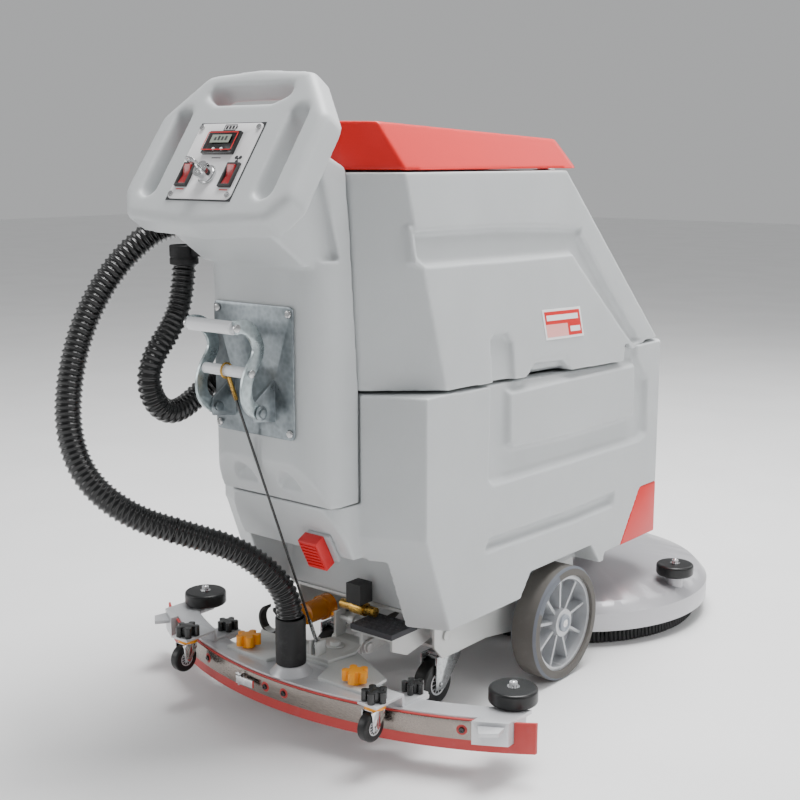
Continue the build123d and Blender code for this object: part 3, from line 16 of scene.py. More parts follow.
import bmesh
import bpy
from mathutils import Matrix, Vector
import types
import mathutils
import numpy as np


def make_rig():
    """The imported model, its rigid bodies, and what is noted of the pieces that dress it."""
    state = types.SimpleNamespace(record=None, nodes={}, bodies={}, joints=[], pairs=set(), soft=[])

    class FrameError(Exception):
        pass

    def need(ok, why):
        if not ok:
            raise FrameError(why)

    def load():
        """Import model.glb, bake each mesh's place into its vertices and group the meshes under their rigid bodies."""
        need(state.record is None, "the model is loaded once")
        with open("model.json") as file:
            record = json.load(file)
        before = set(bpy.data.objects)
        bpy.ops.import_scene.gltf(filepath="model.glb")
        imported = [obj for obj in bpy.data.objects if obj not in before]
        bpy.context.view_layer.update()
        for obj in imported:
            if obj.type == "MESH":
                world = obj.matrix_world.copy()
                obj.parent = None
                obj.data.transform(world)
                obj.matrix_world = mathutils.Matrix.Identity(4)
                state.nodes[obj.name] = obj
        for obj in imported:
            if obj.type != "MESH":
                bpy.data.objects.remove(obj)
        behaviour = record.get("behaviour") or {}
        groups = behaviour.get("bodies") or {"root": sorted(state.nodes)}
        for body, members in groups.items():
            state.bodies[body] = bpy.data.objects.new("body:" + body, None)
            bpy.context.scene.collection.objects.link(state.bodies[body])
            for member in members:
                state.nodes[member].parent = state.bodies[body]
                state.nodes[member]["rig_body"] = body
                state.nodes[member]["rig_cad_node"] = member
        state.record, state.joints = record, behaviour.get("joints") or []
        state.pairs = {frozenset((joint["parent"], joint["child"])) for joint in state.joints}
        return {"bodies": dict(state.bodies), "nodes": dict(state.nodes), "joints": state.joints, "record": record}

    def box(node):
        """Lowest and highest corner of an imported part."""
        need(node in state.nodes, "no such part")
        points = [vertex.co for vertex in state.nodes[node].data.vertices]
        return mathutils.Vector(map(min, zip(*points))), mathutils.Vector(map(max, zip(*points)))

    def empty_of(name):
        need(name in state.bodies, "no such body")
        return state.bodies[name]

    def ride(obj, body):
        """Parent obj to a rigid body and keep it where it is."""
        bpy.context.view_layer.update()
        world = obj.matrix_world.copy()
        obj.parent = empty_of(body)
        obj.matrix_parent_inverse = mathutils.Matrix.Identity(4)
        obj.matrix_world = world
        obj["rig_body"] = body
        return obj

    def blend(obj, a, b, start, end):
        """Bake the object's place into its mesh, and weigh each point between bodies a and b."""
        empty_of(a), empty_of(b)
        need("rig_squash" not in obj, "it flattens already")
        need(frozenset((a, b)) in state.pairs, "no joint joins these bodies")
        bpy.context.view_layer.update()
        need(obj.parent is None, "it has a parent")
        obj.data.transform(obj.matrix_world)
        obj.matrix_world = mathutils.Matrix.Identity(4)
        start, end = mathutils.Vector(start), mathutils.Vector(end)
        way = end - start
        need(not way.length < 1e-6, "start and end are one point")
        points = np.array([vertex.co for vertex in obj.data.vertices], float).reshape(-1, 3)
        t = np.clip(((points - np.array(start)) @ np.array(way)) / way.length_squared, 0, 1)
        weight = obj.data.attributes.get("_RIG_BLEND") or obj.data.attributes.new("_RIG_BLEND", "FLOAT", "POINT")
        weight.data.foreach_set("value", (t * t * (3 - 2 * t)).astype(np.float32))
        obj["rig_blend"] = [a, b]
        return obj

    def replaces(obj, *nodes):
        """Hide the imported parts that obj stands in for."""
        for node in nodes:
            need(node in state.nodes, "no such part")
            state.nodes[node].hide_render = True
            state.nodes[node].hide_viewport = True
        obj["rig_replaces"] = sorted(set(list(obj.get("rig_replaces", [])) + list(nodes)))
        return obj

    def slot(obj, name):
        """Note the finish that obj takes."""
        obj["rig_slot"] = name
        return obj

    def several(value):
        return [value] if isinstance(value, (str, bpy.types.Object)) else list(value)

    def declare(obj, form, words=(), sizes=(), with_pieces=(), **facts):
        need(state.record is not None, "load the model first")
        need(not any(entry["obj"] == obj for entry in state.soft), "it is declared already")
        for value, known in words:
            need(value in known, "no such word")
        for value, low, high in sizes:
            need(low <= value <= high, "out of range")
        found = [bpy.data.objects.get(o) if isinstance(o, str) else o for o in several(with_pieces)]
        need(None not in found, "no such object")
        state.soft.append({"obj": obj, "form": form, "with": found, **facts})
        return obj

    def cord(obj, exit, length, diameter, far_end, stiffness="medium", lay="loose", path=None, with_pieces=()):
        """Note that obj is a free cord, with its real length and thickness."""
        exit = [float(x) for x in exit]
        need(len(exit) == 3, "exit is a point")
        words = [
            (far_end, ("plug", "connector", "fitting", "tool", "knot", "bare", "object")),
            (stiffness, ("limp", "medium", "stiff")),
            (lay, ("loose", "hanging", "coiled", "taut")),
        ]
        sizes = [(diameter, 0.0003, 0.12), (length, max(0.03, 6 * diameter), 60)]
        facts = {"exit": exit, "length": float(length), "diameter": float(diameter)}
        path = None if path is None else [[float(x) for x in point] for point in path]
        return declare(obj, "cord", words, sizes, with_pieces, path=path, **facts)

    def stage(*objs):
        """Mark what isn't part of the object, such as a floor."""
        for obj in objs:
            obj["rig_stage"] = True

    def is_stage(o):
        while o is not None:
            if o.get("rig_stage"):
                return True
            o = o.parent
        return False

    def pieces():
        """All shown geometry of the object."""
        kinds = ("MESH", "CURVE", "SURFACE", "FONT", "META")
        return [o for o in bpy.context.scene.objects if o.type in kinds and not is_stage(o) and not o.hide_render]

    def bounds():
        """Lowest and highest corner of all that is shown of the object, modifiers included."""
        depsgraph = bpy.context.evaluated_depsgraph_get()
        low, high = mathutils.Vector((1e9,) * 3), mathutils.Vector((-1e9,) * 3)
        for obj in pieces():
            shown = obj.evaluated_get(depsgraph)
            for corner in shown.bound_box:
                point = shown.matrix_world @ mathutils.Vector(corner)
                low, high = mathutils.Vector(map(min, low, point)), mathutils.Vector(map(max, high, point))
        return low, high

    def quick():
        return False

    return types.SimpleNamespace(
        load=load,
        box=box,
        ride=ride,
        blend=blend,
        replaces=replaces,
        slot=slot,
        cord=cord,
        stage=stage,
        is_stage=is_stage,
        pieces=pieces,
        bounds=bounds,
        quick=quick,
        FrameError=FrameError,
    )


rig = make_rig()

logging.basicConfig(level=logging.INFO, format="%(name)s: %(message)s")
LOG = logging.getLogger("scrubber")

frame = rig.load()
CAD_BOX = [list(corner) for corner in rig.bounds()]

ORIGIN_Y = 14.24
Point = Tuple[float, float, float]
Pair = Tuple[float, float]
Colour = Tuple[float, float, float, float]
LEFT, RIGHT = -1, 1
SIDES = ((LEFT, "left"), (RIGHT, "right"))


def at(x: float, y: float, z: float) -> Vector:
    """A layout point in the scene's metres.

    Args:
        x, y, z: millimetres from the layout datum.

    Returns:
        The point in metres, from the origin under the machine's middle.
    """
    return Vector((x, y - ORIGIN_Y, z)) / 1000.0


def in_layout(point: Vector) -> Vector:
    """A point in the scene's metres, in layout millimetres."""
    return point * 1000.0 + Vector((0.0, ORIGIN_Y, 0.0))


def way(x: float, y: float, z: float) -> Vector:
    """A direction or an offset in millimetres, in metres."""
    return Vector((x, y, z)) / 1000.0


def srgb(text: str) -> Colour:
    """A linear colour from six hexadecimal digits.

    Args:
        text: such as "c8cacb".

    Returns:
        Red, green, blue and alpha from 0 to 1.
    """
    parts = [int(text[i:i + 2], 16) / 255 for i in (0, 2, 4)]
    red, green, blue = [p / 12.92 if p <= 0.04045 else ((p + 0.055) / 1.055) ** 2.4 for p in parts]
    return (red, green, blue, 1.0)


# ---- the operator's panel plane --------------------------------------------------------------
PANEL_Y, PANEL_Z = -566.0, 883.0
PANEL_LEAN = math.radians(34.7)
PANEL_T = 2.0


def on_panel(x: float, up: float, out: float) -> Vector:
    """A point of the tilted panel, in metres.

    Args:
        x: to the right of the panel's middle.
        up: up the panel's slope.
        out: out of the handle's face.

    Returns:
        The point in the scene.
    """
    y = PANEL_Y + up * math.sin(PANEL_LEAN) - out * math.cos(PANEL_LEAN)
    z = PANEL_Z + up * math.cos(PANEL_LEAN) + out * math.sin(PANEL_LEAN)
    return at(x, y, z)


# ---- shader maths ----------------------------------------------------------------------------
# FLAT_POINT is a flat face's pointiness; the gain sharpens the mask of the painted edge highlight
FLAT_POINT, HIGHLIGHT_GAIN = 0.508, 30.0
Number = Union["Value", float]
Paint = Union[bpy.types.NodeSocket, Colour]


class Graph:
    """A material's node tree, with one way of adding nodes."""

    def __init__(self, name: str) -> None:
        """Start a material.

        Args:
            name: the material's name.
        """
        self.material = bpy.data.materials.new(name)
        self.material.use_nodes = True
        self.tree = self.material.node_tree
        self.tree.nodes.clear()

    def add(self, kind: str, inputs: Optional[Dict[Union[str, int], Any]] = None,
            **settings: Any) -> bpy.types.Node:
        """Add a node.

        Args:
            kind: the node's type.
            inputs: values or sockets by input name or number.
            settings: properties of the node.

        Returns:
            The new node.
        """
        node = self.tree.nodes.new(kind)
        for name, value in settings.items():
            setattr(node, name, value)
        for name, value in (inputs or {}).items():
            target = node.inputs[name]
            if isinstance(value, Value):
                value = value.socket
            if isinstance(value, bpy.types.NodeSocket):
                self.tree.links.new(value, target)
            else:
                target.default_value = value
        return node

    def value(self, node: bpy.types.Node, output: Union[str, int] = 0) -> "Value":
        """One output of a node, ready for sums."""
        return Value(self, node.outputs[output])

    def coords(self) -> bpy.types.NodeSocket:
        """Object coordinates, which are the scene's metres."""
        return self.add("ShaderNodeTexCoord").outputs["Object"]

    def noise(self, scale: float, detail: float = 3.0, rough: float = 0.5,
              stretch: Point = (1.0, 1.0, 1.0)) -> "Value":
        """A noise value.

        Args:
            scale: waves per metre.
            detail: octaves.
            rough: weight of the fine octaves.
            stretch: scale of each axis.

        Returns:
            A value about 0.5.
        """
        place = self.add("ShaderNodeMapping", {"Vector": self.coords(), "Scale": stretch})
        node = self.add("ShaderNodeTexNoise", {"Vector": place.outputs[0], "Scale": scale,
                                               "Detail": detail, "Roughness": rough})
        return self.value(node, "Fac")

    def mix(self, factor: "Value", first: Paint, second: Paint) -> bpy.types.NodeSocket:
        """Blend two colours.

        Args:
            factor: 0 for the first, 1 for the second.
            first, second: colours, or sockets that carry one.

        Returns:
            The blend's socket.
        """
        node = self.add("ShaderNodeMix", data_type="RGBA")
        self.tree.links.new(factor.socket, node.inputs[0])
        for target, colour in ((node.inputs[6], first), (node.inputs[7], second)):
            if isinstance(colour, bpy.types.NodeSocket):
                self.tree.links.new(colour, target)
            else:
                target.default_value = colour
        return node.outputs[2]

    def edge_wear(self) -> "Value":
        """1 on outer edges, from the mesh's own pointiness: the mask of a painted edge highlight."""
        point = self.value(self.add("ShaderNodeNewGeometry"), "Pointiness")
        return ((point - FLAT_POINT) * HIGHLIGHT_GAIN).clamp()

    def finish(self, shader: bpy.types.Node) -> bpy.types.Material:
        """Send a shader to the material's surface and return the material."""
        self.add("ShaderNodeOutputMaterial", {"Surface": shader.outputs[0]})
        return self.material


class Value:
    """A number of a shader graph that takes part in sums and products."""

    def __init__(self, graph: Graph, socket: bpy.types.NodeSocket) -> None:
        """Wrap a socket of a graph."""
        self.graph = graph
        self.socket = socket

    def _with(self, operation: str, other: Number, flip: bool = False) -> "Value":
        """One Math node on this value and another.

        Args:
            operation: the node's operation.
            other: a value or a plain number.
            flip: whether the other comes first.

        Returns:
            The node's result.
        """
        pair = (other, self) if flip else (self, other)
        node = self.graph.add("ShaderNodeMath", {0: pair[0], 1: pair[1]}, operation=operation)
        return Value(self.graph, node.outputs[0])

    def __add__(self, other: Number) -> "Value":
        """self + other."""
        return self._with("ADD", other)

    def __radd__(self, other: Number) -> "Value":
        """other + self."""
        return self._with("ADD", other)

    def __sub__(self, other: Number) -> "Value":
        """self - other."""
        return self._with("SUBTRACT", other)

    def __rsub__(self, other: Number) -> "Value":
        """other - self."""
        return self._with("SUBTRACT", other, flip=True)

    def __mul__(self, other: Number) -> "Value":
        """self * other."""
        return self._with("MULTIPLY", other)

    def __rmul__(self, other: Number) -> "Value":
        """other * self."""
        return self._with("MULTIPLY", other)

    def clamp(self, low: float = 0.0, high: float = 1.0) -> "Value":
        """Limit the value."""
        node = self.graph.add("ShaderNodeClamp", {"Value": self, "Min": low, "Max": high})
        return Value(self.graph, node.outputs[0])

    def step(self, low: float, high: float) -> "Value":
        """Rise smoothly from 0 to 1.

        Args:
            low, high: the values where the rise starts and ends.

        Returns:
            The share.
        """
        node = self.graph.add("ShaderNodeMapRange",
                              {"Value": self, "From Min": low, "From Max": high},
                              interpolation_type="SMOOTHSTEP")
        return Value(self.graph, node.outputs[0])


# ---- finishes --------------------------------------------------------------------------------
Pattern = Tuple[bpy.types.NodeSocket, Value, Optional[Value], float]


@dataclass(frozen=True)
class Finish:
    """A surface's look. Subclasses say how it varies.

    Attributes:
        name: the material's name.
        colour: base colour, six digits.
        rough: mean roughness.
        slot: the record's material slot.
    """

    name: str
    colour: str
    rough: float
    slot: str

    def metallic(self) -> float:
        """How metallic the surface is."""
        return 0.0

    def tone(self, share: float = 1.0, lift: float = 0.0) -> Colour:
        """The base colour, darker or paler.

        Args:
            share: what each channel is multiplied by.
            lift: what is then added.

        Returns:
            The colour, no channel over 1.
        """
        red, green, blue = (min(1.0, c * share + lift) for c in srgb(self.colour)[:3])
        return (red, green, blue, 1.0)

    def pattern(self, graph: Graph) -> Pattern:
        """The varying colour, roughness and height.

        Args:
            graph: the material's nodes.

        Returns:
            A colour socket, a roughness, a height or None, and the height's size in metres.
        """
        cloud = graph.noise(22.0, 4.0)
        colour = graph.mix(cloud.step(0.3, 0.7), self.tone(0.92), self.tone())
        return colour, (cloud - 0.5) * 0.08 + self.rough, None, 0.0

    def extras(self) -> Dict[str, float]:
        """Constant inputs of the shader."""
        return {}

    def material(self) -> bpy.types.Material:
        """Build the material, or find it if it is built.

        Returns:
            The material.
        """
        ready = bpy.data.materials.get(self.name)
        if ready is not None:
            return ready
        graph = Graph(self.name)
        colour, rough, height, size = self.pattern(graph)
        shader = graph.add("ShaderNodeBsdfPrincipled",
                           {"Base Color": colour, "Roughness": rough.clamp(0.04, 1.0),
                            "Metallic": self.metallic(), **self.extras()})
        if height is not None:
            bump = graph.add("ShaderNodeBump", {"Height": height, "Distance": size, "Strength": 1.0})
            graph.tree.links.new(bump.outputs[0], shader.inputs["Normal"])
        graph.material.diffuse_color = self.tone()
        return graph.finish(shader)


@dataclass(frozen=True)
class Moulded(Finish):
    """Moulded plastic with a fine grain, faint mottling and a painted highlight on its outer edges.

    Attributes:
        grain: bumps per metre.
        depth: height of the grain in metres.
        coat: weight of the clear skin.
    """

    grain: float = 1500.0
    depth: float = 0.00004
    coat: float = 0.0

    def pattern(self, graph: Graph) -> Pattern:
        """Mottled, with a fine grain and outer edges paled by a painted highlight.

        Args:
            graph: the material's nodes.

        Returns:
            As Finish.pattern.
        """
        cloud = graph.noise(6.0, 5.0, 0.6)
        speck = graph.noise(self.grain * 0.6, 2.0, 0.6)
        mottle = (cloud * 0.6 + speck * 0.4).step(0.35, 0.65)
        colour = graph.mix(mottle, self.tone(0.93), self.tone())
        # painted highlight: outer edges lightened by pointiness
        colour = graph.mix(graph.edge_wear() * 0.5, colour, self.tone(1.16, 0.01))
        grain = graph.noise(self.grain, 2.0, 0.7) + graph.noise(self.grain * 0.22, 2.0) * 0.7
        rough = (cloud - 0.5) * 0.10 + (speck - 0.5) * 0.12 + self.rough
        return colour, rough, grain, self.depth

    def extras(self) -> Dict[str, float]:
        """See Finish.extras."""
        return {"Coat Weight": self.coat, "Coat Roughness": 0.25, "Specular IOR Level": 0.45}


@dataclass(frozen=True)
class Rubber(Moulded):
    """Rubber: matt, with dust in patches."""

    def pattern(self, graph: Graph) -> Pattern:
        """Dusty in patches.

        Args:
            graph: the material's nodes.

        Returns:
            As Finish.pattern.
        """
        cloud = graph.noise(35.0, 5.0, 0.65)
        colour = graph.mix(cloud.step(0.5, 0.75) * 0.5, self.tone(), self.tone(0.8, 0.05))
        grain = graph.noise(self.grain, 3.0, 0.7)
        return colour, (cloud - 0.5) * 0.16 + self.rough, grain, self.depth


@dataclass(frozen=True)
class Galvanised(Finish):
    """Zinc plate with spangle and soft blotches."""

    def metallic(self) -> float:
        """See Finish.metallic."""
        return 0.92

    def pattern(self, graph: Graph) -> Pattern:
        """Spangled, with dull blotches.

        Args:
            graph: the material's nodes.

        Returns:
            As Finish.pattern.
        """
        cells = graph.add("ShaderNodeTexVoronoi", {"Vector": graph.coords(), "Scale": 130.0})
        spangle = graph.value(cells, "Distance")
        cloud = graph.noise(14.0, 4.0, 0.55)
        fine = graph.noise(420.0, 3.0, 0.6)
        bloom = (cloud * 0.7 + spangle * 0.35).step(0.3, 0.85)
        colour = graph.mix(bloom, self.tone(0.66), self.tone())
        rough = (cloud - 0.5) * 0.22 + (fine - 0.5) * 0.10 + self.rough
        return colour, rough, fine, 0.00003


@dataclass(frozen=True)
class Brushed(Finish):
    """Steel brushed along one axis.

    Attributes:
        stretch: the scale of the scratches on each axis.
    """

    stretch: Point = (0.04, 1.0, 1.0)

    def metallic(self) -> float:
        """See Finish.metallic."""
        return 1.0

    def pattern(self, graph: Graph) -> Pattern:
        """Fine scratches along one axis.

        Args:
            graph: the material's nodes.

        Returns:
            As Finish.pattern.
        """
        lines = graph.noise(900.0, 3.0, 0.6, self.stretch)
        cloud = graph.noise(9.0, 3.0)
        worn = (lines * 0.6 + cloud * 0.4).step(0.3, 0.7)
        colour = graph.mix(worn, self.tone(0.72), self.tone())
        return colour, (lines - 0.5) * 0.2 + (cloud - 0.5) * 0.16 + self.rough, lines, 0.00002


@dataclass(frozen=True)
class Bright(Finish):
    """Polished or plated metal with faint marks."""

    def metallic(self) -> float:
        """See Finish.metallic."""
        return 1.0

    def pattern(self, graph: Graph) -> Pattern:
        """Faint marks from handling.

        Args:
            graph: the material's nodes.

        Returns:
            As Finish.pattern.
        """
        marks = graph.noise(160.0, 4.0, 0.7)
        colour = graph.mix(marks.step(0.35, 0.6), self.tone(0.75), self.tone())
        return colour, (marks - 0.5) * 0.14 + self.rough, graph.noise(1200.0, 2.0), 0.00001


@dataclass(frozen=True)
class Lacquer(Finish):
    """Metallic paint under a clear coat."""

    def metallic(self) -> float:
        """See Finish.metallic."""
        return 0.35

    def pattern(self, graph: Graph) -> Pattern:
        """Flakes under a slightly wavy coat, with a painted highlight on outer edges.

        Args:
            graph: the material's nodes.

        Returns:
            As Finish.pattern.
        """
        flake = graph.noise(2600.0, 1.0, 0.8)
        peel = graph.noise(240.0, 2.0)
        colour = graph.mix(flake.step(0.42, 0.6), self.tone(0.84), self.tone())
        # painted highlight: outer edges blended towards pale grey by pointiness
        colour = graph.mix(graph.edge_wear() * 0.35, colour, srgb("e9e9ea"))
        return colour, (flake - 0.5) * 0.14 + self.rough, peel, 0.00006

    def extras(self) -> Dict[str, float]:
        """See Finish.extras."""
        return {"Coat Weight": 0.25, "Coat Roughness": 0.3}


@dataclass(frozen=True)
class Clear(Finish):
    """Tinted clear plastic or glass.

    Attributes:
        see_through: how much light goes through.
    """

    see_through: float = 0.85

    def extras(self) -> Dict[str, float]:
        """See Finish.extras."""
        return {"Transmission Weight": self.see_through, "IOR": 1.45}


class Look(Enum):
    """Every finish of the machine."""

    BODY = Moulded("body_grey", "c1c4c5", 0.46, "grey_moulding", grain=1300.0, depth=0.00005)
    LID = Moulded("lid_red", "dc0f0c", 0.40, "red_moulding", grain=900.0, depth=0.00008, coat=0.1)
    TRIM = Moulded("trim_red", "d4100e", 0.38, "red_moulding", grain=1200.0, coat=0.15)
    BLACK = Moulded("black_plastic", "0e0f10", 0.40, "black_plastic", grain=1600.0)
    GLOSS_BLACK = Moulded("gloss_black", "08090a", 0.24, "black_plastic", grain=600.0,
                          depth=0.00001, coat=0.4)
    CASE = Moulded("battery_case", "26282b", 0.55, "battery_case", grain=800.0)
    WHITE = Moulded("panel_white", "e6e5e6", 0.38, "white_plastic", grain=1800.0, depth=0.00001)
    SLEEVE = Moulded("sleeve_white", "e3e4e6", 0.34, "white_plastic", grain=700.0, depth=0.00002)
    YELLOW = Moulded("knob_yellow", "f29a08", 0.38, "yellow_plastic", grain=1400.0)
    SWITCH_RED = Moulded("switch_red", "a30610", 0.16, "red_moulding", grain=400.0,
                         depth=0.00001, coat=0.7)
    PLUG_RED = Moulded("plug_red", "c40d12", 0.36, "red_moulding", grain=900.0)
    GREY_BLOCK = Moulded("block_grey", "a9abad", 0.5, "grey_moulding", grain=900.0)
    HOSE = Moulded("hose_black", "060607", 0.22, "hose", grain=500.0, depth=0.00002, coat=0.3)
    CUFF = Rubber("cuff_rubber", "0d0d0f", 0.52, "rubber_black", grain=700.0)
    ROLLER = Rubber("roller_rubber", "0b0c0d", 0.36, "roller_black", grain=900.0)
    BLADE = Rubber("blade_rubber", "b83a38", 0.50, "rubber_red", grain=500.0, depth=0.00003)
    TREAD = Rubber("tyre_tread", "5d5a56", 0.78, "tyre", grain=420.0, depth=0.00022)
    TYRE_SIDE = Rubber("tyre_side", "5f636b", 0.60, "tyre", grain=700.0, depth=0.00006)
    HUB = Lacquer("hub_silver", "b9bbbe", 0.38, "tyre")
    HUB_CAP = Moulded("hub_cap", "8d939b", 0.46, "tyre", grain=900.0)
    CAST = Lacquer("cast_grey", "c3c4c7", 0.34, "cast")
    DECK = Lacquer("deck_silver", "b7b6ba", 0.34, "deck_paint")
    ZINC = Galvanised("galvanised", "98a2a5", 0.32, "galvanised")
    ARM = Galvanised("arm_zinc", "c6d2d4", 0.30, "galvanised")
    PLATE = Galvanised("plate_zinc", "9aa2a6", 0.33, "steel")
    STRAP = Brushed("strap_steel", "9a918a", 0.26, "steel")
    SCREW = Bright("screw_steel", "cfcfcf", 0.20, "steel")
    CHROME = Bright("chrome", "dedfe0", 0.12, "steel")
    FORK = Bright("fork_zinc", "b9bcbd", 0.26, "steel")
    BRASS = Bright("brass", "c9a052", 0.28, "brass_water")
    AMBER = Clear("amber_bowl", "d88712", 0.14, "brass_water", see_through=0.55)
    LCD = Moulded("lcd", "8b9487", 0.22, "white_plastic", grain=300.0, depth=0.000005, coat=0.8)
    INK = Moulded("ink", "2a2b2d", 0.5, "black_plastic", grain=900.0, depth=0.000005)
    BRISTLE = Moulded("bristle", "101012", 0.55, "brush_plastic", grain=3000.0)
    LABEL_WHITE = Moulded("label_white", "eef0f0", 0.35, "white_plastic", grain=900.0, depth=0.000005)
    LABEL_PINK = Moulded("label_pink", "f2a9a4", 0.4, "red_moulding", grain=900.0, depth=0.000005)

    @property
    def material(self) -> bpy.types.Material:
        """The finish's material."""
        return self.value.material()


# ---- meshes ----------------------------------------------------------------------------------
def show(name: str, mesh: bpy.types.Mesh) -> bpy.types.Object:
    """Put a mesh in the scene as an object at the origin.

    Args:
        name: the object's name.
        mesh: its mesh.

    Returns:
        The object.
    """
    obj = bpy.data.objects.new(name, mesh)
    bpy.context.scene.collection.objects.link(obj)
    return obj


def from_bmesh(name: str, bm: bmesh.types.BMesh) -> bpy.types.Object:
    """Make an object from a bmesh, with its normals outwards.

    Args:
        name: the object's name.
        bm: the bmesh, which is freed.

    Returns:
        The object.
    """
    bmesh.ops.recalc_face_normals(bm, faces=bm.faces)
    mesh = bpy.data.meshes.new(name)
    bm.to_mesh(mesh)
    bm.free()
    return show(name, mesh)


def wear(obj: bpy.types.Object, look: "Look") -> None:
    """Give an object one finish."""
    obj.data.materials.clear()
    obj.data.materials.append(look.material)


def drop(obj: bpy.types.Object) -> None:
    """Remove an object and its mesh.

    Args:
        obj: the object.
    """
    mesh = obj.data
    bpy.data.objects.remove(obj)
    if mesh is not None and mesh.users == 0:
        bpy.data.meshes.remove(mesh)


def baked(obj: bpy.types.Object) -> bpy.types.Object:
    """Apply an object's modifiers.

    Args:
        obj: the object, with modifiers.

    Returns:
        The same object with the result as its mesh.
    """
    graph = bpy.context.evaluated_depsgraph_get()
    graph.update()
    mesh = bpy.data.meshes.new_from_object(obj.evaluated_get(graph), depsgraph=graph)
    old = obj.data
    obj.modifiers.clear()
    obj.data = mesh
    if old.users == 0:
        bpy.data.meshes.remove(old)
    return obj


def smooth(obj: bpy.types.Object, angle: float = 35.0) -> bpy.types.Object:
    """Shade smooth, with sharp edges kept.

    Args:
        obj: the object.
        angle: edges sharper than this stay sharp, in degrees.

    Returns:
        The object.
    """
    obj.data.shade_smooth()
    obj.data.set_sharp_from_angle(angle=math.radians(angle))
    return obj


def outward(bm: bmesh.types.BMesh) -> bmesh.types.BMesh:
    """Turn a closed bmesh's faces outwards and return it."""
    bmesh.ops.recalc_face_normals(bm, faces=bm.faces)
    return bm


def loft(low: Sequence[Vector], high: Sequence[Vector]) -> bmesh.types.BMesh:
    """A closed solid between two outlines, its faces not yet turned outwards.

    Args:
        low: one end's corners in order.
        high: the other end's, each facing its fellow.

    Returns:
        The bmesh.
    """
    bm = bmesh.new()
    rings = [[bm.verts.new(point) for point in end] for end in (low, high)]
    bm.faces.new(rings[0])
    bm.faces.new(list(reversed(rings[1])))
    for i in range(len(low)):
        j = (i + 1) % len(low)
        bm.faces.new((rings[0][j], rings[0][i], rings[1][i], rings[1][j]))
    return bm


def prism(points: Sequence[Vector], push: Vector) -> bmesh.types.BMesh:
    """A closed prism, from one end's corners and the way to the other end."""
    return outward(loft(points, [point + push for point in points]))


def lathe(profile: Sequence[Pair], place: Matrix, steps: int = 64) -> bmesh.types.BMesh:
    """A turned solid about the local Z axis.

    Args:
        profile: (radius, height) in millimetres. It starts and ends on the axis, or is closed.
        place: from the local frame, in metres, to the scene.
        steps: facets round the axis.

    Returns:
        The bmesh.
    """
    bm = bmesh.new()
    rings = []
    for radius, height in profile:
        count = steps if radius > 0 else 1
        turns = [2 * math.pi * k / steps for k in range(count)]
        rings.append([bm.verts.new((radius / 1000 * math.cos(a), radius / 1000 * math.sin(a),
                                    height / 1000)) for a in turns])
    for a, b in zip(rings, rings[1:]):
        for k in range(steps):
            j = (k + 1) % steps
            if len(a) == 1 and len(b) == 1:
                continue
            if len(a) == 1:
                bm.faces.new((a[0], b[k], b[j]))
            elif len(b) == 1:
                bm.faces.new((a[k], a[j], b[0]))
            else:
                bm.faces.new((a[k], a[j], b[j], b[k]))
    bmesh.ops.transform(bm, matrix=place, verts=bm.verts)
    return outward(bm)


def closed(profile: Sequence[Pair]) -> List[Pair]:
    """A ring's profile, closed on itself."""
    return list(profile) + [profile[0]]


def axis_place(origin: Vector, axis: Vector) -> Matrix:
    """A matrix that carries local Z to an axis at a point."""
    return Matrix.Translation(origin) @ axis.to_track_quat("Z", "Y").to_matrix().to_4x4()


def join(name: str, parts: Iterable[Tuple[bmesh.types.BMesh, "Look"]]) -> bpy.types.Object:
    """One object from several bmeshes, each with its finish.

    Args:
        name: the object's name.
        parts: pairs of a bmesh and its finish. The bmeshes are freed.

    Returns:
        The object, its materials set.
    """
    whole = bmesh.new()
    looks: List[Look] = []
    for bm, look in parts:
        if look not in looks:
            looks.append(look)
        for face in bm.faces:
            face.material_index = looks.index(look)
        spare = bpy.data.meshes.new("spare")
        bm.to_mesh(spare)
        bm.free()
        whole.from_mesh(spare)
        bpy.data.meshes.remove(spare)
    mesh = bpy.data.meshes.new(name)
    whole.to_mesh(mesh)
    whole.free()
    for look in looks:
        mesh.materials.append(look.material)
    return smooth(show(name, mesh), 40.0)


def frame_copy(node: str) -> bmesh.types.BMesh:
    """A copy of a CAD node's mesh, its corners merged and its flat faces whole.

    Args:
        node: the CAD node.

    Returns:
        The bmesh.
    """
    source = frame["nodes"][node]
    bm = bmesh.new()
    bm.from_mesh(source.data)
    bmesh.ops.transform(bm, matrix=source.matrix_world, verts=bm.verts)
    bmesh.ops.remove_doubles(bm, verts=bm.verts, dist=1e-6)
    bmesh.ops.dissolve_limit(bm, angle_limit=math.radians(0.4), verts=bm.verts, edges=bm.edges)
    return bm


def islands(bm: bmesh.types.BMesh) -> List[bmesh.types.BMesh]:
    """Split a bmesh into its separate solids.

    Args:
        bm: the bmesh, which is freed.

    Returns:
        The solids, from the largest box to the smallest.
    """
    bm.verts.ensure_lookup_table()
    seen, found = set(), []
    for start in bm.verts:
        if start.index in seen:
            continue
        stack, group = [start], set()
        seen.add(start.index)
        while stack:
            vert = stack.pop()
            group.add(vert.index)
            for edge in vert.link_edges:
                other = edge.other_vert(vert)
                if other.index not in seen:
                    seen.add(other.index)
                    stack.append(other)
        found.append(group)
    parts = []
    for group in found:
        part = bm.copy()
        part.verts.ensure_lookup_table()
        gone = [v for v in part.verts if v.index not in group]
        bmesh.ops.delete(part, geom=gone, context="VERTS")
        parts.append(part)
    bm.free()
    return sorted(parts, key=lambda p: -size_of(p).length)


def size_of(bm: bmesh.types.BMesh) -> Vector:
    """The size of a bmesh's box."""
    low, high = box_of(bm)
    return high - low


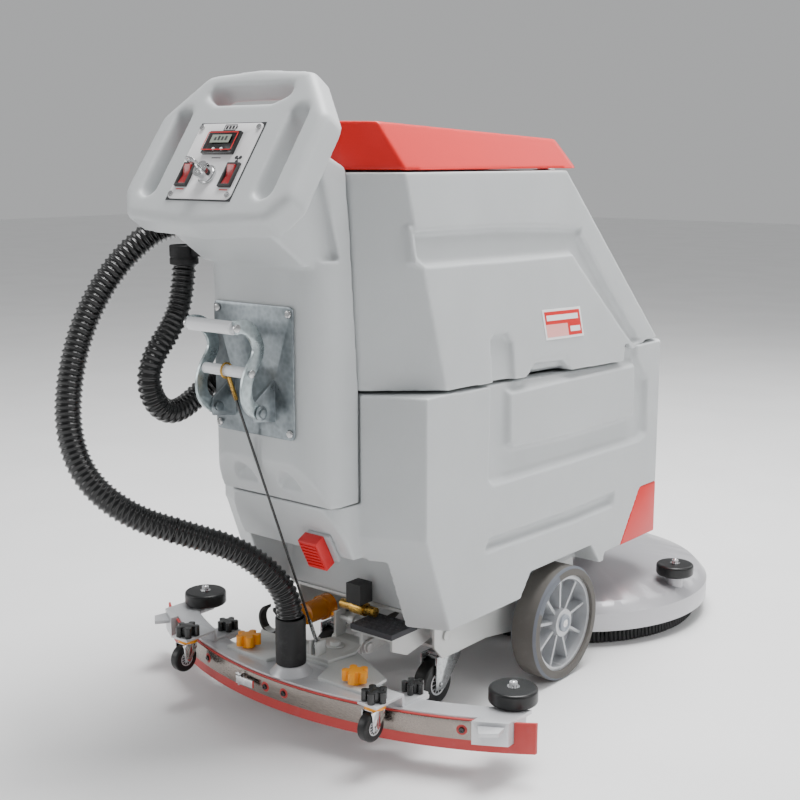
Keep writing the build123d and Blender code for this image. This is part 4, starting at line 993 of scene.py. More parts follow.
def box_of(bm: bmesh.types.BMesh) -> Tuple[Vector, Vector]:
    """The box round a bmesh.

    Args:
        bm: the bmesh.

    Returns:
        Its lowest and its highest corner.
    """
    low = Vector([min(v.co[i] for v in bm.verts) for i in range(3)])
    high = Vector([max(v.co[i] for v in bm.verts) for i in range(3)])
    return low, high


def middle(bm: bmesh.types.BMesh) -> Vector:
    """The middle of a bmesh's box.

    Args:
        bm: the bmesh.

    Returns:
        The point in layout millimetres.
    """
    low, high = box_of(bm)
    return in_layout((low + high) / 2)


def rounded(obj: bpy.types.Object, width: float, segments: int = 2,
            angle: float = 32.0) -> bpy.types.Object:
    """Round an object's edges.

    Args:
        obj: the object.
        width: the bevel's width in millimetres.
        segments: its facets.
        angle: edges flatter than this stay.

    Returns:
        The object.
    """
    mod = obj.modifiers.new("round", "BEVEL")
    mod.width = width / 1000
    mod.segments = segments
    mod.limit_method = "ANGLE"
    mod.angle_limit = math.radians(angle)
    mod.use_clamp_overlap = True
    mod.miter_outer = "MITER_ARC"
    return smooth(baked(obj), 44.0)


def box(x0: float, x1: float, y0: float, y1: float, z0: float, z1: float) -> bmesh.types.BMesh:
    """A block between two layout corners."""
    return prism([at(x0, y0, z0), at(x1, y0, z0), at(x1, y1, z0), at(x0, y1, z0)],
                 way(0, 0, z1 - z0))


def rod(start: Vector, end: Vector, radius: float, chamfer: float = 0.6,
        steps: int = 32) -> bmesh.types.BMesh:
    """A round bar with broken ends.

    Args:
        start, end: the middles of its ends, in metres.
        radius: its radius in millimetres.
        chamfer: how much its ends are broken.
        steps: facets round it.

    Returns:
        The bmesh.
    """
    length = (end - start).length * 1000
    c = min(chamfer, length / 3, radius / 2)
    profile = [(0, 0), (radius - c, 0), (radius, c), (radius, length - c), (radius - c, length),
               (0, length)]
    return lathe(profile, axis_place(start, end - start), steps)


@dataclass
class Piece:
    """A finished piece and how it joins the frame.

    Attributes:
        obj: the object.
        body: the CAD body that it rides on, or None if it bends between bodies.
        nodes: the CAD nodes that it stands for.
        slot: its material slot in the record.
    """

    obj: bpy.types.Object
    body: Optional[str]
    nodes: Sequence[str] = ()
    slot: str = ""

    def place(self) -> bpy.types.Object:
        """Tie the piece to its body and hide what it replaces.

        Returns:
            The object.
        """
        if self.body:
            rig.ride(self.obj, self.body)
        if self.nodes:
            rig.replaces(self.obj, *self.nodes)
        if self.slot:
            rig.slot(self.obj, self.slot)
        LOG.info("%s: %d faces on %s", self.obj.name, len(self.obj.data.polygons), self.body)
        return self.obj


LookRule = Union[Look, Callable[[Vector, int], Look]]
FaceRule = Callable[[Vector, Vector], Optional[Look]]


def repaint(obj: bpy.types.Object, rule: FaceRule) -> None:
    """Give faces another finish by where they are.

    Args:
        obj: the object.
        rule: a function of a face's middle in layout millimetres and its normal, which
            returns a finish, or None to leave the face.
    """
    mesh = obj.data
    for face in mesh.polygons:
        look = rule(in_layout(face.center), face.normal)
        if look is None:
            continue
        if look.material.name not in mesh.materials:
            mesh.materials.append(look.material)
        face.material_index = mesh.materials.find(look.material.name)


def carried(node: str, rule: LookRule, width: float = 0.8, segments: int = 2,
            faces: Optional[FaceRule] = None) -> bpy.types.Object:
    """A CAD node with rounded edges and a finish for each of its solids.

    Args:
        node: the CAD node.
        rule: one finish, or a function of a solid's middle and rank.
        width: the rounding in millimetres.
        segments: its facets.
        faces: a finish for single faces, or None.

    Returns:
        The object.
    """
    parts = []
    for rank, part in enumerate(islands(frame_copy(node))):
        look = rule if isinstance(rule, Look) else rule(middle(part), rank)
        parts.append((part, look))
    slot = parts[0][1].value.slot
    obj = join(f"{node}_skin", parts)
    if width:
        rounded(obj, width, segments)
    if faces:
        repaint(obj, faces)
    return Piece(obj, frame["nodes"][node]["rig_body"], (node,), slot).place()


def carry_all(rows: Iterable[Tuple[Any, ...]]) -> None:
    """Make several CAD nodes' pieces, each row the arguments of carried()."""
    for row in rows:
        carried(*row)


# ---- repeated things, by geometry nodes ------------------------------------------------------
class Repeater:
    """A geometry-node group that puts one mesh on every point of another."""

    def __init__(self) -> None:
        """Build the tree."""
        tree = bpy.data.node_groups.new("repeat_on_points", "GeometryNodeTree")
        face = tree.interface
        face.new_socket("Geometry", in_out="INPUT", socket_type="NodeSocketGeometry")
        self.piece = face.new_socket("Piece", in_out="INPUT", socket_type="NodeSocketObject")
        self.scale = face.new_socket("Scale", in_out="INPUT", socket_type="NodeSocketFloat")
        self.finish = face.new_socket("Finish", in_out="INPUT", socket_type="NodeSocketMaterial")
        face.new_socket("Geometry", in_out="OUTPUT", socket_type="NodeSocketGeometry")
        add, link = tree.nodes.new, tree.links.new
        start, end = add("NodeGroupInput"), add("NodeGroupOutput")
        points = add("GeometryNodeMeshToPoints")
        info = add("GeometryNodeObjectInfo")
        turn = add("GeometryNodeInputNamedAttribute")
        turn.data_type = "FLOAT_VECTOR"
        turn.inputs["Name"].default_value = "turn"
        spread = add("GeometryNodeInstanceOnPoints")
        real, paint = add("GeometryNodeRealizeInstances"), add("GeometryNodeSetMaterial")
        link(start.outputs["Geometry"], points.inputs["Mesh"])
        link(start.outputs["Piece"], info.inputs["Object"])
        link(points.outputs["Points"], spread.inputs["Points"])
        link(info.outputs["Geometry"], spread.inputs["Instance"])
        link(turn.outputs["Attribute"], spread.inputs["Rotation"])
        link(start.outputs["Scale"], spread.inputs["Scale"])
        link(spread.outputs["Instances"], real.inputs["Geometry"])
        link(real.outputs["Geometry"], paint.inputs["Geometry"])
        link(start.outputs["Finish"], paint.inputs["Material"])
        link(paint.outputs["Geometry"], end.inputs["Geometry"])
        self.tree = tree

    def build(self, name: str, piece: bmesh.types.BMesh, places: Sequence[Matrix], look: Look,
              scale: float = 1.0) -> bpy.types.Object:
        """Repeat a piece.

        Args:
            name: the result's name.
            piece: the piece, drawn about the origin.
            places: where each copy goes.
            look: their finish.
            scale: the size of the copies.

        Returns:
            One object with all the copies.
        """
        model = from_bmesh(name + "_model", piece)
        mesh = bpy.data.meshes.new(name)
        mesh.from_pydata([m.to_translation() for m in places], [], [])
        turns = mesh.attributes.new("turn", "FLOAT_VECTOR", "POINT")
        for i, place in enumerate(places):
            turns.data[i].vector = place.to_euler()
        obj = show(name, mesh)
        mod = obj.modifiers.new("repeat", "NODES")
        mod.node_group = self.tree
        mod[self.piece.identifier] = model
        mod[self.scale.identifier] = scale
        mod[self.finish.identifier] = look.material
        baked(obj)
        drop(model)
        wear(obj, look)
        return smooth(obj)


# ---- moulded shells --------------------------------------------------------------------------
BODY_HALF = 216.0
SEAM_Z, TANK_TOP_Z = 552.0, 868.0
TANK_DRAFT = 26.0
SHARPEST_MITRE = 0.35
CUTTER_OVER = 14.0
Wall = Callable[[float], float]


def straight(z: float) -> float:
    """Half width of the lower tank, the same at every height."""
    return BODY_HALF


def leaning(z: float) -> float:
    """Half width of the recovery tank at a height."""
    return BODY_HALF - TANK_DRAFT * (z - SEAM_Z) / (TANK_TOP_Z - SEAM_Z)


def offset(points: Sequence[Pair], distance: float) -> List[Pair]:
    """Move a closed outline's corners outwards.

    Args:
        points: the outline, in either direction.
        distance: how far its edges move.

    Returns:
        The new corners.
    """
    area = sum(a[0] * b[1] - b[0] * a[1] for a, b in zip(points, list(points[1:]) + [points[0]]))
    sign = 1.0 if area > 0 else -1.0
    moved = []
    for i, (x, y) in enumerate(points):
        before, after = points[i - 1], points[(i + 1) % len(points)]
        first = Vector((x - before[0], y - before[1])).normalized()
        second = Vector((after[0] - x, after[1] - y)).normalized()
        n1, n2 = Vector((first.y, -first.x)) * sign, Vector((second.y, -second.x)) * sign
        mitre = n1 + n2
        scale = distance / max(SHARPEST_MITRE, 1.0 + n1.dot(n2))
        moved.append((x + mitre.x * scale, y + mitre.y * scale))
    return moved


@dataclass
class Recess:
    """A shape on a side wall, as (y, z) corners, cut in or standing out.

    Attributes:
        points: its outline.
        wall: the wall's distance from the middle plane at a height.
        side: LEFT or RIGHT.
    """

    points: Sequence[Pair]
    wall: Wall
    side: int

    def solid(self, inner: Sequence[Pair], inner_in: float, outer: Sequence[Pair],
              outer_in: float) -> bmesh.types.BMesh:
        """A solid between two outlines.

        Args:
            inner: the outline nearer the middle plane.
            inner_in: how far that lies inside the wall's face.
            outer: the other outline.
            outer_in: how far that lies inside the wall's face.

        Returns:
            The bmesh, all triangles.
        """
        ends = [[at(self.side * (self.wall(z) - inside), y, z) for y, z in outline]
                for outline, inside in ((inner, inner_in), (outer, outer_in))]
        bm = loft(*ends)
        bmesh.ops.triangulate(bm, faces=bm.faces)
        return outward(bm)

    def cutter(self, depth: float, draft: float) -> bmesh.types.BMesh:
        """A cutter with sloped sides.

        Args:
            depth: how deep it cuts.
            draft: how much wider it is at the surface.

        Returns:
            The cutter.
        """
        wide = offset(self.points, draft * (depth + CUTTER_OVER) / depth)
        return self.solid(self.points, depth, wide, -CUTTER_OVER)

    def backing(self, depth: float, grow: float) -> bmesh.types.BMesh:
        """A thick patch behind the wall's face.

        Args:
            depth: how deep the patch goes.
            grow: how far it reaches past the outline.

        Returns:
            The patch.
        """
        wide = offset(self.points, grow)
        return self.solid(wide, depth, wide, 2.0)

    def island(self, depth: float, draft: float) -> bmesh.types.BMesh:
        """A field that stands up from the floor of a recess to the wall's face.

        Args:
            depth: how deep the floor is.
            draft: how much wider the field is at the floor.

        Returns:
            The field.
        """
        return self.solid(offset(self.points, draft), depth, self.points, 0.0)


@dataclass
class Shell:
    """A rotation-moulded body: the CAD shape with its recesses, all edges soft.

    Attributes:
        name: the object's name.
        base: the CAD solid.
        look: its finish.
        voxel: the size of the first even mesh, in millimetres.
        passes: how soft the edges are.
        faces: about how many faces to keep.
        steps: solids to join and to cut away, in order.
        softer: a weight at a point in layout millimetres, and the extra passes there.
    """

    name: str
    base: bmesh.types.BMesh
    look: Look
    voxel: float
    passes: int
    faces: int
    steps: List[Tuple[str, bmesh.types.BMesh]] = field(default_factory=list)
    softer: Optional[Tuple[Callable[[Vector], float], int]] = None

    def soften(self, obj: bpy.types.Object, name: str, passes: int) -> bpy.types.Modifier:
        """Add smoothing passes.

        Args:
            obj: the shell.
            name: the modifier's name.
            passes: how many.

        Returns:
            The modifier.
        """
        mod = obj.modifiers.new(name, "SMOOTH")
        mod.factor = 0.5
        mod.iterations = passes
        return mod

    def build(self) -> bpy.types.Object:
        """Make the shell.

        Returns:
            The object, smooth shaded, with its material.
        """
        bmesh.ops.triangulate(self.base, faces=self.base.faces)
        obj = from_bmesh(self.name, self.base)
        tools = []
        for number, (kind, bm) in enumerate(self.steps):
            tool = from_bmesh(f"{self.name}_tool_{number}", bm)
            mod = obj.modifiers.new(f"step_{number}", "BOOLEAN")
            mod.operation = kind
            mod.solver = "EXACT"
            mod.object = tool
            tools.append(tool)
        mod = obj.modifiers.new("even", "REMESH")
        mod.mode = "VOXEL"
        mod.voxel_size = self.voxel * (2.0 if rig.quick() else 1.0) / 1000
        baked(obj)
        for tool in tools:
            drop(tool)
        if self.softer:
            weight, passes = self.softer
            group = obj.vertex_groups.new(name="softer")
            for vert in obj.data.vertices:
                amount = weight(in_layout(vert.co))
                if amount > 0:
                    group.add([vert.index], amount, "REPLACE")
            self.soften(obj, "softer", passes).vertex_group = "softer"
        self.soften(obj, "soft", self.passes)
        baked(obj)
        obj.vertex_groups.clear()
        count = len(obj.data.polygons) * 2
        if count > self.faces:
            mod = obj.modifiers.new("lighter", "DECIMATE")
            mod.ratio = self.faces / count
            baked(obj)
        wear(obj, self.look)
        obj.data.shade_smooth()
        return obj


# ---- studio ----------------------------------------------------------------------------------
@dataclass
class Studio:
    """Floor, light and camera.

    Attributes:
        eye: where the camera stands.
        turn, dip: which way it looks, in degrees.
        lens: its focal length on a 36 mm sensor.
        aim_z: the height that the lamps aim at, in metres.
        floor_size: the floor's side in metres.
        floor_tones: the floor's darkest and lightest grey.
        sky: the surroundings' colour.
        sky_power: their strength.
        lamps: each lamp's name, place and side in metres, and watts.
    """

    eye: Point = (1335.5, -1786.7, 888.9)
    turn: float = 39.5
    dip: float = 10.76
    lens: float = 57.5
    aim_z: float = 0.45
    floor_size: float = 30.0
    floor_tones: Pair = (0.86, 0.89)
    sky: Colour = (0.96, 0.97, 0.98, 1.0)
    sky_power: float = 0.48
    lamps: Sequence[Tuple[str, Point, float, float]] = (
        ("overhead", (0.3, 0.4, 3.2), 1.7, 185.0), ("left_box", (-2.6, -2.8, 1.7), 1.8, 34.0),
        ("right_box", (3.0, 0.6, 2.0), 1.6, 30.0), ("rear_box", (0.6, 3.0, 2.2), 2.0, 26.0))

    def camera(self) -> None:
        """Set up the camera."""
        data = bpy.data.cameras.new("camera")
        data.lens = self.lens
        data.sensor_width = 36.0
        data.clip_end = 60.0
        obj = bpy.data.objects.new("camera", data)
        obj.location = at(*self.eye)
        obj.rotation_euler = (math.radians(90 - self.dip), 0.0, math.radians(self.turn))
        bpy.context.scene.collection.objects.link(obj)
        bpy.context.scene.camera = obj

    def lamp(self, name: str, place: Point, size: float, watts: float) -> None:
        """Add a square soft box aimed at the machine.

        Args:
            name: the lamp's name.
            place: where it stands, in metres.
            size: its side in metres.
            watts: its power.
        """
        data = bpy.data.lights.new(name, "AREA")
        data.size = size
        data.energy = watts
        obj = bpy.data.objects.new(name, data)
        obj.location = place
        away = Vector(place) - Vector((0, 0, self.aim_z))
        obj.rotation_euler = away.to_track_quat("Z", "Y").to_euler()
        bpy.context.scene.collection.objects.link(obj)

    def build(self) -> None:
        """Lay the floor and light it."""
        half = self.floor_size / 2
        bm = bmesh.new()
        bm.faces.new([bm.verts.new((x * half, y * half, 0))
                      for x, y in ((-1, -1), (1, -1), (1, 1), (-1, 1))])
        floor = from_bmesh("floor", bm)
        graph = Graph("floor_paint")
        dark, light = ((grey, grey, grey, 1.0) for grey in self.floor_tones)
        colour = graph.mix(graph.noise(3.0, 2.0).step(0.3, 0.7), dark, light)
        shader = graph.add("ShaderNodeBsdfPrincipled", {"Base Color": colour, "Roughness": 0.7})
        floor.data.materials.append(graph.finish(shader))
        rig.stage(floor)
        world = bpy.data.worlds.new("studio")
        world.use_nodes = True
        back = world.node_tree.nodes["Background"]
        back.inputs["Color"].default_value = self.sky
        back.inputs["Strength"].default_value = self.sky_power
        bpy.context.scene.world = world
        for name, place, size, watts in self.lamps:
            self.lamp(name, place, size, watts)


# ---- hoses -----------------------------------------------------------------------------------
RIB_SHARPNESS = 1.6
HOSE_FACETS = 28
ROUTE_STEPS = 16


class HoseSkin:
    """A geometry-node tube with ribs, swept along a chain of points."""

    def __init__(self) -> None:
        """Build the tree."""
        tree = bpy.data.node_groups.new("ribbed_hose", "GeometryNodeTree")
        face = tree.interface
        face.new_socket("Geometry", in_out="INPUT", socket_type="NodeSocketGeometry")
        self.inputs = {name: face.new_socket(name, in_out="INPUT", socket_type="NodeSocketFloat")
                       for name in ("Radius", "Rib Height", "Rib Pitch", "Step")}
        self.finish = face.new_socket("Finish", in_out="INPUT", socket_type="NodeSocketMaterial")
        face.new_socket("Geometry", in_out="OUTPUT", socket_type="NodeSocketGeometry")
        add, link = tree.nodes.new, tree.links.new
        start, end = add("NodeGroupInput"), add("NodeGroupOutput")
        chain, even = add("GeometryNodeMeshToCurve"), add("GeometryNodeResampleCurve")
        even.mode = "LENGTH"
        along = add("GeometryNodeSplineParameter")
        link(start.outputs["Geometry"], chain.inputs["Mesh"])
        link(chain.outputs["Curve"], even.inputs["Curve"])
        link(start.outputs["Step"], even.inputs["Length"])

        def sums(operation: str, first: Any, second: Any = None) -> bpy.types.NodeSocket:
            """One Math node.

            Args:
                operation: the node's operation.
                first, second: sockets or numbers.

            Returns:
                The result's socket.
            """
            node = add("ShaderNodeMath")
            node.operation = operation
            for socket, value in zip(node.inputs, (first, second)):
                if isinstance(value, bpy.types.NodeSocket):
                    link(value, socket)
                elif value is not None:
                    socket.default_value = value
            return node.outputs[0]

        turns = sums("DIVIDE", along.outputs["Length"], start.outputs["Rib Pitch"])
        wave = sums("COSINE", sums("MULTIPLY", turns, 2 * math.pi))
        crest = sums("POWER", sums("MULTIPLY", sums("ADD", wave, 1.0), 0.5), RIB_SHARPNESS)
        shaped = sums("MULTIPLY", crest, start.outputs["Rib Height"])
        radius = sums("ADD", sums("SUBTRACT", start.outputs["Radius"], start.outputs["Rib Height"]),
                      shaped)
        sized = add("GeometryNodeSetCurveRadius")
        link(even.outputs["Curve"], sized.inputs["Curve"])
        link(radius, sized.inputs["Radius"])
        ring = add("GeometryNodeCurvePrimitiveCircle")
        ring.inputs["Resolution"].default_value = HOSE_FACETS
        ring.inputs["Radius"].default_value = 1.0
        skin = add("GeometryNodeCurveToMesh")
        skin.inputs["Fill Caps"].default_value = True
        link(sized.outputs["Curve"], skin.inputs["Curve"])
        link(ring.outputs["Curve"], skin.inputs["Profile Curve"])
        if "Scale" in skin.inputs:
            link(radius, skin.inputs["Scale"])
        real, paint = add("GeometryNodeRealizeInstances"), add("GeometryNodeSetMaterial")
        link(skin.outputs["Mesh"], real.inputs["Geometry"])
        link(real.outputs["Geometry"], paint.inputs["Geometry"])
        link(start.outputs["Finish"], paint.inputs["Material"])
        link(paint.outputs["Geometry"], end.inputs["Geometry"])
        self.tree = tree

    def build(self, name: str, path: Sequence[Vector], sizes: Dict[str, float],
              look: Look) -> bpy.types.Object:
        """Sweep one hose.

        Args:
            name: the object's name.
            path: the points that it follows.
            sizes: the tree's sizes in metres, by input name.
            look: its finish.

        Returns:
            The hose as a plain mesh.
        """
        mesh = bpy.data.meshes.new(name)
        mesh.from_pydata([tuple(p) for p in path], [(i, i + 1) for i in range(len(path) - 1)], [])
        obj = show(name, mesh)
        mod = obj.modifiers.new("hose", "NODES")
        mod.node_group = self.tree
        for key, value in sizes.items():
            mod[self.inputs[key].identifier] = value
        mod[self.finish.identifier] = look.material
        baked(obj)
        bm = bmesh.new()
        bm.from_mesh(obj.data)
        bmesh.ops.remove_doubles(bm, verts=bm.verts, dist=1e-6)
        bmesh.ops.recalc_face_normals(bm, faces=bm.faces)
        bm.to_mesh(obj.data)
        bm.free()
        wear(obj, look)
        return smooth(obj, 60.0)


def nurbs_points(name: str, route: Sequence[Point]) -> List[Vector]:
    """Points along the smooth line of a route.

    Args:
        name: the curve's name.
        route: its control points in layout millimetres.

    Returns:
        The points in metres, close together.
    """
    curve = bpy.data.curves.new(name, "CURVE")
    curve.dimensions = "3D"
    spline = curve.splines.new("NURBS")
    spline.points.add(len(route) - 1)
    for target, point in zip(spline.points, route):
        target.co = (*at(*point), 1.0)
    spline.order_u = 3
    spline.use_endpoint_u = True
    spline.resolution_u = ROUTE_STEPS
    obj = bpy.data.objects.new(name, curve)
    bpy.context.scene.collection.objects.link(obj)
    graph = bpy.context.evaluated_depsgraph_get()
    graph.update()
    mesh = bpy.data.meshes.new_from_object(obj.evaluated_get(graph), depsgraph=graph)
    points = [v.co.copy() for v in mesh.vertices]
    bpy.data.objects.remove(obj)
    bpy.data.curves.remove(curve)
    bpy.data.meshes.remove(mesh)
    return points


def chain_length(path: Sequence[Vector]) -> float:
    """The length of a chain of points."""
    return sum((b - a).length for a, b in zip(path, path[1:]))


@dataclass
class Hoses:
    """The suction hose to the squeegee and the drain hose on the column.

    Attributes:
        suction, drain: the routes' control points.
        hang: where the suction hose starts to follow the squeegee.
        joint: about where its upper piece meets its lower one.
        cuff_top: where it enters the squeegee's cuff.
        suction_r, drain_r: outer radii.
        rib_pitch, rib_height: their ribs.
        lower_least: the shortest that the lower stretch may be, in metres.
    """

    suction: Sequence[Point] = ((-134, -455, 792), (-180, -455, 792), (-221, -491, 782),
                                (-250, -548, 728), (-266, -598, 650), (-268, -631, 562),
                                (-253, -650, 478), (-216, -647, 408), (-162, -610, 356),
                                (-103, -550, 326), (-52, -495, 300), (-14, -456, 256),
                                (0, -435, 210), (0, -435, 170))
    drain: Sequence[Point] = ((-164, -486, 728), (-165, -492, 672), (-166, -516, 630),
                              (-167, -550, 594), (-168, -562, 556), (-169, -548, 518),
                              (-170, -518, 500), (-172, -484, 506), (-170, -453, 526),
                              (-160, -425, 548), (-126, -425, 548))
    hang: Point = (-268, -631, 562)
    joint: Point = (-103, -550, 326)
    cuff_top: Point = (0, -435, 215)
    suction_r: float = 21.0
    drain_r: float = 19.0
    rib_pitch: float = 9.2
    rib_height: float = 2.9
    lower_least: float = 0.258

    def sizes(self, radius: float) -> Dict[str, float]:
        """The hose tree's inputs for one radius, in metres."""
        return {"Radius": radius / 1000, "Rib Height": self.rib_height / 1000,
                "Rib Pitch": self.rib_pitch / 1000, "Step": self.rib_pitch / 8000}

    def build(self, skin: HoseSkin) -> None:
        """Make both hoses.

        Args:
            skin: the ribbed tube's tree.
        """
        path = nurbs_points("suction_route", self.suction)
        near = min(range(len(path)), key=lambda i: (path[i] - at(*self.joint)).length)
        while chain_length(path[near:]) < self.lower_least:
            near -= 1
        upper, lower = path[:near + 1], path[near:]
        top = skin.build("suction_hose_upper", upper, self.sizes(self.suction_r), Look.HOSE)
        end = skin.build("suction_hose_lower", lower, self.sizes(self.suction_r), Look.HOSE)
        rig.blend(top, "machine_body", "suction_hose", start=at(*self.hang), end=upper[-1])
        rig.blend(end, "squeegee_yoke", "squeegee", start=lower[0], end=at(*self.cuff_top))
        for obj, chain in ((top, upper), (end, lower)):
            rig.cord(obj, exit=chain[0], length=chain_length(chain),
                    diameter=2 * self.suction_r / 1000, far_end="object", stiffness="medium",
                    lay="hanging", path=chain)
            Piece(obj, None, ("suction_hose",), "hose").place()
        path = nurbs_points("drain_route", self.drain)
        pipe = skin.build("drain_hose_tube", path, self.sizes(self.drain_r), Look.HOSE)
        profile = [(0, 0), (20.5, 0), (22, 1.5), (22, 9), (21, 10), (21, 12), (22, 13), (22, 28.5),
                   (20.5, 30), (16.5, 30), (16, 26), (0, 26)]
        collar = lathe(profile, axis_place(at(*self.drain[0]), way(0, 0, 1)))
        cuff = join("drain_hose_cuff", [(collar, Look.CUFF)])
        Piece(cuff, "machine_body", (), "hose").place()
        Piece(pipe, "machine_body", ("drain_hose",), "hose").place()
        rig.cord(pipe, exit=path[-1], length=chain_length(path), diameter=2 * self.drain_r / 1000,
                far_end="fitting", stiffness="medium", lay="hanging", path=list(reversed(path)),
                with_pieces=[cuff])


# ---- tanks and column ------------------------------------------------------------------------
@dataclass
class Tanks:
    """The lower tank, the recovery tank, their recesses and labels.

    Attributes:
        voxel: the size of the shells' first even mesh.
        passes: how soft their edges are.
        faces: about how many faces each keeps.
        depth, draft: the lower tank's recess.
        shallow: how deep the groove, the band and the slot are.
        channel: the floor of the lower tank's recess.
        backing: the thick wall behind it.
        panel: the raised field inside it.
        groove: the lower tank's long groove.
        hinge_y: where the hinges' bosses stand on the left.
        band: the recovery tank's shoulder, running down its front corner.
        slot, slot_backing: its upright slot and the thick wall behind it.
        notch, notch_backing: the finger notch in its lower edge, and the same.
    """

    voxel: float = 3.0
    passes: int = 4
    faces: int = 170000
    depth: float = 12.0
    draft: float = 8.0
    shallow: float = 11.0
    hinge_y: Pair = (-200.0, 100.0)
    backing: Sequence[Pair] = ((-200, 515), (-204, 385), (284, 378), (281, 486), (262, 515))
    channel: Sequence[Pair] = ((-200, 560), (-202, 500), (-204, 398), (-196, 391), (35, 387),
                               (262, 384), (284, 391), (281, 486), (240, 534), (236, 560))
    panel: Sequence[Pair] = ((-153, 524), (-152, 445), (-141, 437), (32, 430), (238, 430),
                             (236, 520))
    groove: Sequence[Pair] = ((-203, 294), (39, 288), (172, 291), (170, 279), (40, 278),
                              (-208, 286))
    band: Sequence[Pair] = ((-366, 780), (-165, 779), (68, 768), (65, 758), (139, 678),
                            (217, 598), (249, 566), (236, 563), (205, 586), (120, 664),
                            (72, 708), (44, 735), (-174, 737), (-348, 740), (-362, 748))
    slot: Sequence[Pair] = ((-198, 510), (-200, 611), (-193, 616), (-160, 616), (-148, 603),
                            (-146, 510))
    slot_backing: Sequence[Pair] = ((-200, 560), (-200, 611), (-150, 611), (-150, 560))
    notch_backing: Sequence[Pair] = ((-118, 556), (-82, 575), (0, 572), (24, 552))
    notch: Sequence[Pair] = ((-118, 500), (-112, 540), (-82, 560), (0, 556), (24, 536), (30, 500))

    def shell(self, name: str, node: str, steps: List[Tuple[str, bmesh.types.BMesh]]) -> None:
        """Make one tank from its CAD solid.

        Args:
            name: the piece's name.
            node: its CAD node.
            steps: solids to join and to cut away, in order.
        """
        part = islands(frame_copy(node))[0]
        obj = Shell(name, part, Look.BODY, self.voxel, self.passes, self.faces, steps).build()
        Piece(obj, frame["nodes"][node]["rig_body"], (node,), "grey_moulding").place()

    def lower(self) -> None:
        """Make the lower tank."""
        steps = []
        for side in (LEFT, RIGHT):
            channel, groove, behind, panel = (
                Recess(points, straight, side)
                for points in (self.channel, self.groove, self.backing, self.panel))
            steps += [("UNION", behind.backing(self.depth + 7, 6.0)),
                      ("UNION", groove.backing(self.depth + 8, 14.0)),
                      ("DIFFERENCE", channel.cutter(self.depth, self.draft)),
                      ("UNION", panel.island(self.depth + 3, self.draft * 1.25)),
                      ("DIFFERENCE", groove.cutter(self.shallow, 8.0))]
        for y in self.hinge_y:
            steps.append(("UNION", box(-BODY_HALF, 16 - BODY_HALF, y - 36, y + 36, 482, 524)))
        self.shell("lower_tank_shell", "lower_tank", steps)

    def upper(self) -> None:
        """Make the recovery tank."""
        steps = []
        for side in (LEFT, RIGHT):
            band, notch, behind = (Recess(points, leaning, side)
                                   for points in (self.band, self.notch, self.notch_backing))
            steps += [("UNION", band.backing(18.0, 12.0)), ("UNION", behind.backing(24.0, 12.0)),
                      ("DIFFERENCE", band.cutter(self.shallow, 6.0)),
                      ("DIFFERENCE", notch.cutter(17.0, 4.0))]
        steps.append(("UNION", Recess(self.slot_backing, leaning, RIGHT).backing(18.0, 12.0)))
        steps.append(("DIFFERENCE", Recess(self.slot, leaning, RIGHT).cutter(self.shallow, 5.0)))
        self.shell("recovery_tank_shell", "recovery_tank", steps)

    def label(self, side: int, name: str) -> None:
        """Make a plain side label with coloured fields and no lettering.

        Args:
            side: which side of the tank.
            name: that side's name.
        """
        parts = []
        for left, right, low, high, out, look in (
                (0, 1, 0, 1, 0.9, Look.LABEL_WHITE), (0.04, 0.96, 0.50, 0.92, 1.2, Look.TRIM),
                (0.04, 0.60, 0.08, 0.50, 1.2, Look.LABEL_PINK),
                (0.60, 0.96, 0.08, 0.50, 1.2, Look.TRIM),
                (0.08, 0.90, 0.62, 0.80, 1.4, Look.LABEL_WHITE),
                (0.66, 0.92, 0.20, 0.38, 1.4, Look.LABEL_WHITE)):
            corners = []
            for u, v in ((left, low), (right, low), (right, high), (left, high)):
                y, z = -52 + 115 * u - 9 * v, 597 - 4 * u + 50 * v
                corners.append(at(side * (leaning(z) + 0.1), y, z))
            parts.append((prism(corners, way(side * out, 0, 0)), look))
        Piece(join(f"side_label_{name}", parts), "recovery_tank", (), "white_plastic").place()

    def cover(self) -> None:
        """Make the red lid."""
        part = islands(frame_copy("lid"))[0]
        obj = Shell("lid_shell", part, Look.LID, 2.6, 6, 120000).build()
        Piece(obj, "lid", ("lid",), "red_moulding").place()

    def build(self) -> None:
        """Make the tanks, the lid, the labels and the red corner trims."""
        self.lower()
        self.upper()
        self.cover()
        for side, name in SIDES:
            self.label(side, name)
        carried("corner_trims", Look.TRIM, 3.0, 3)


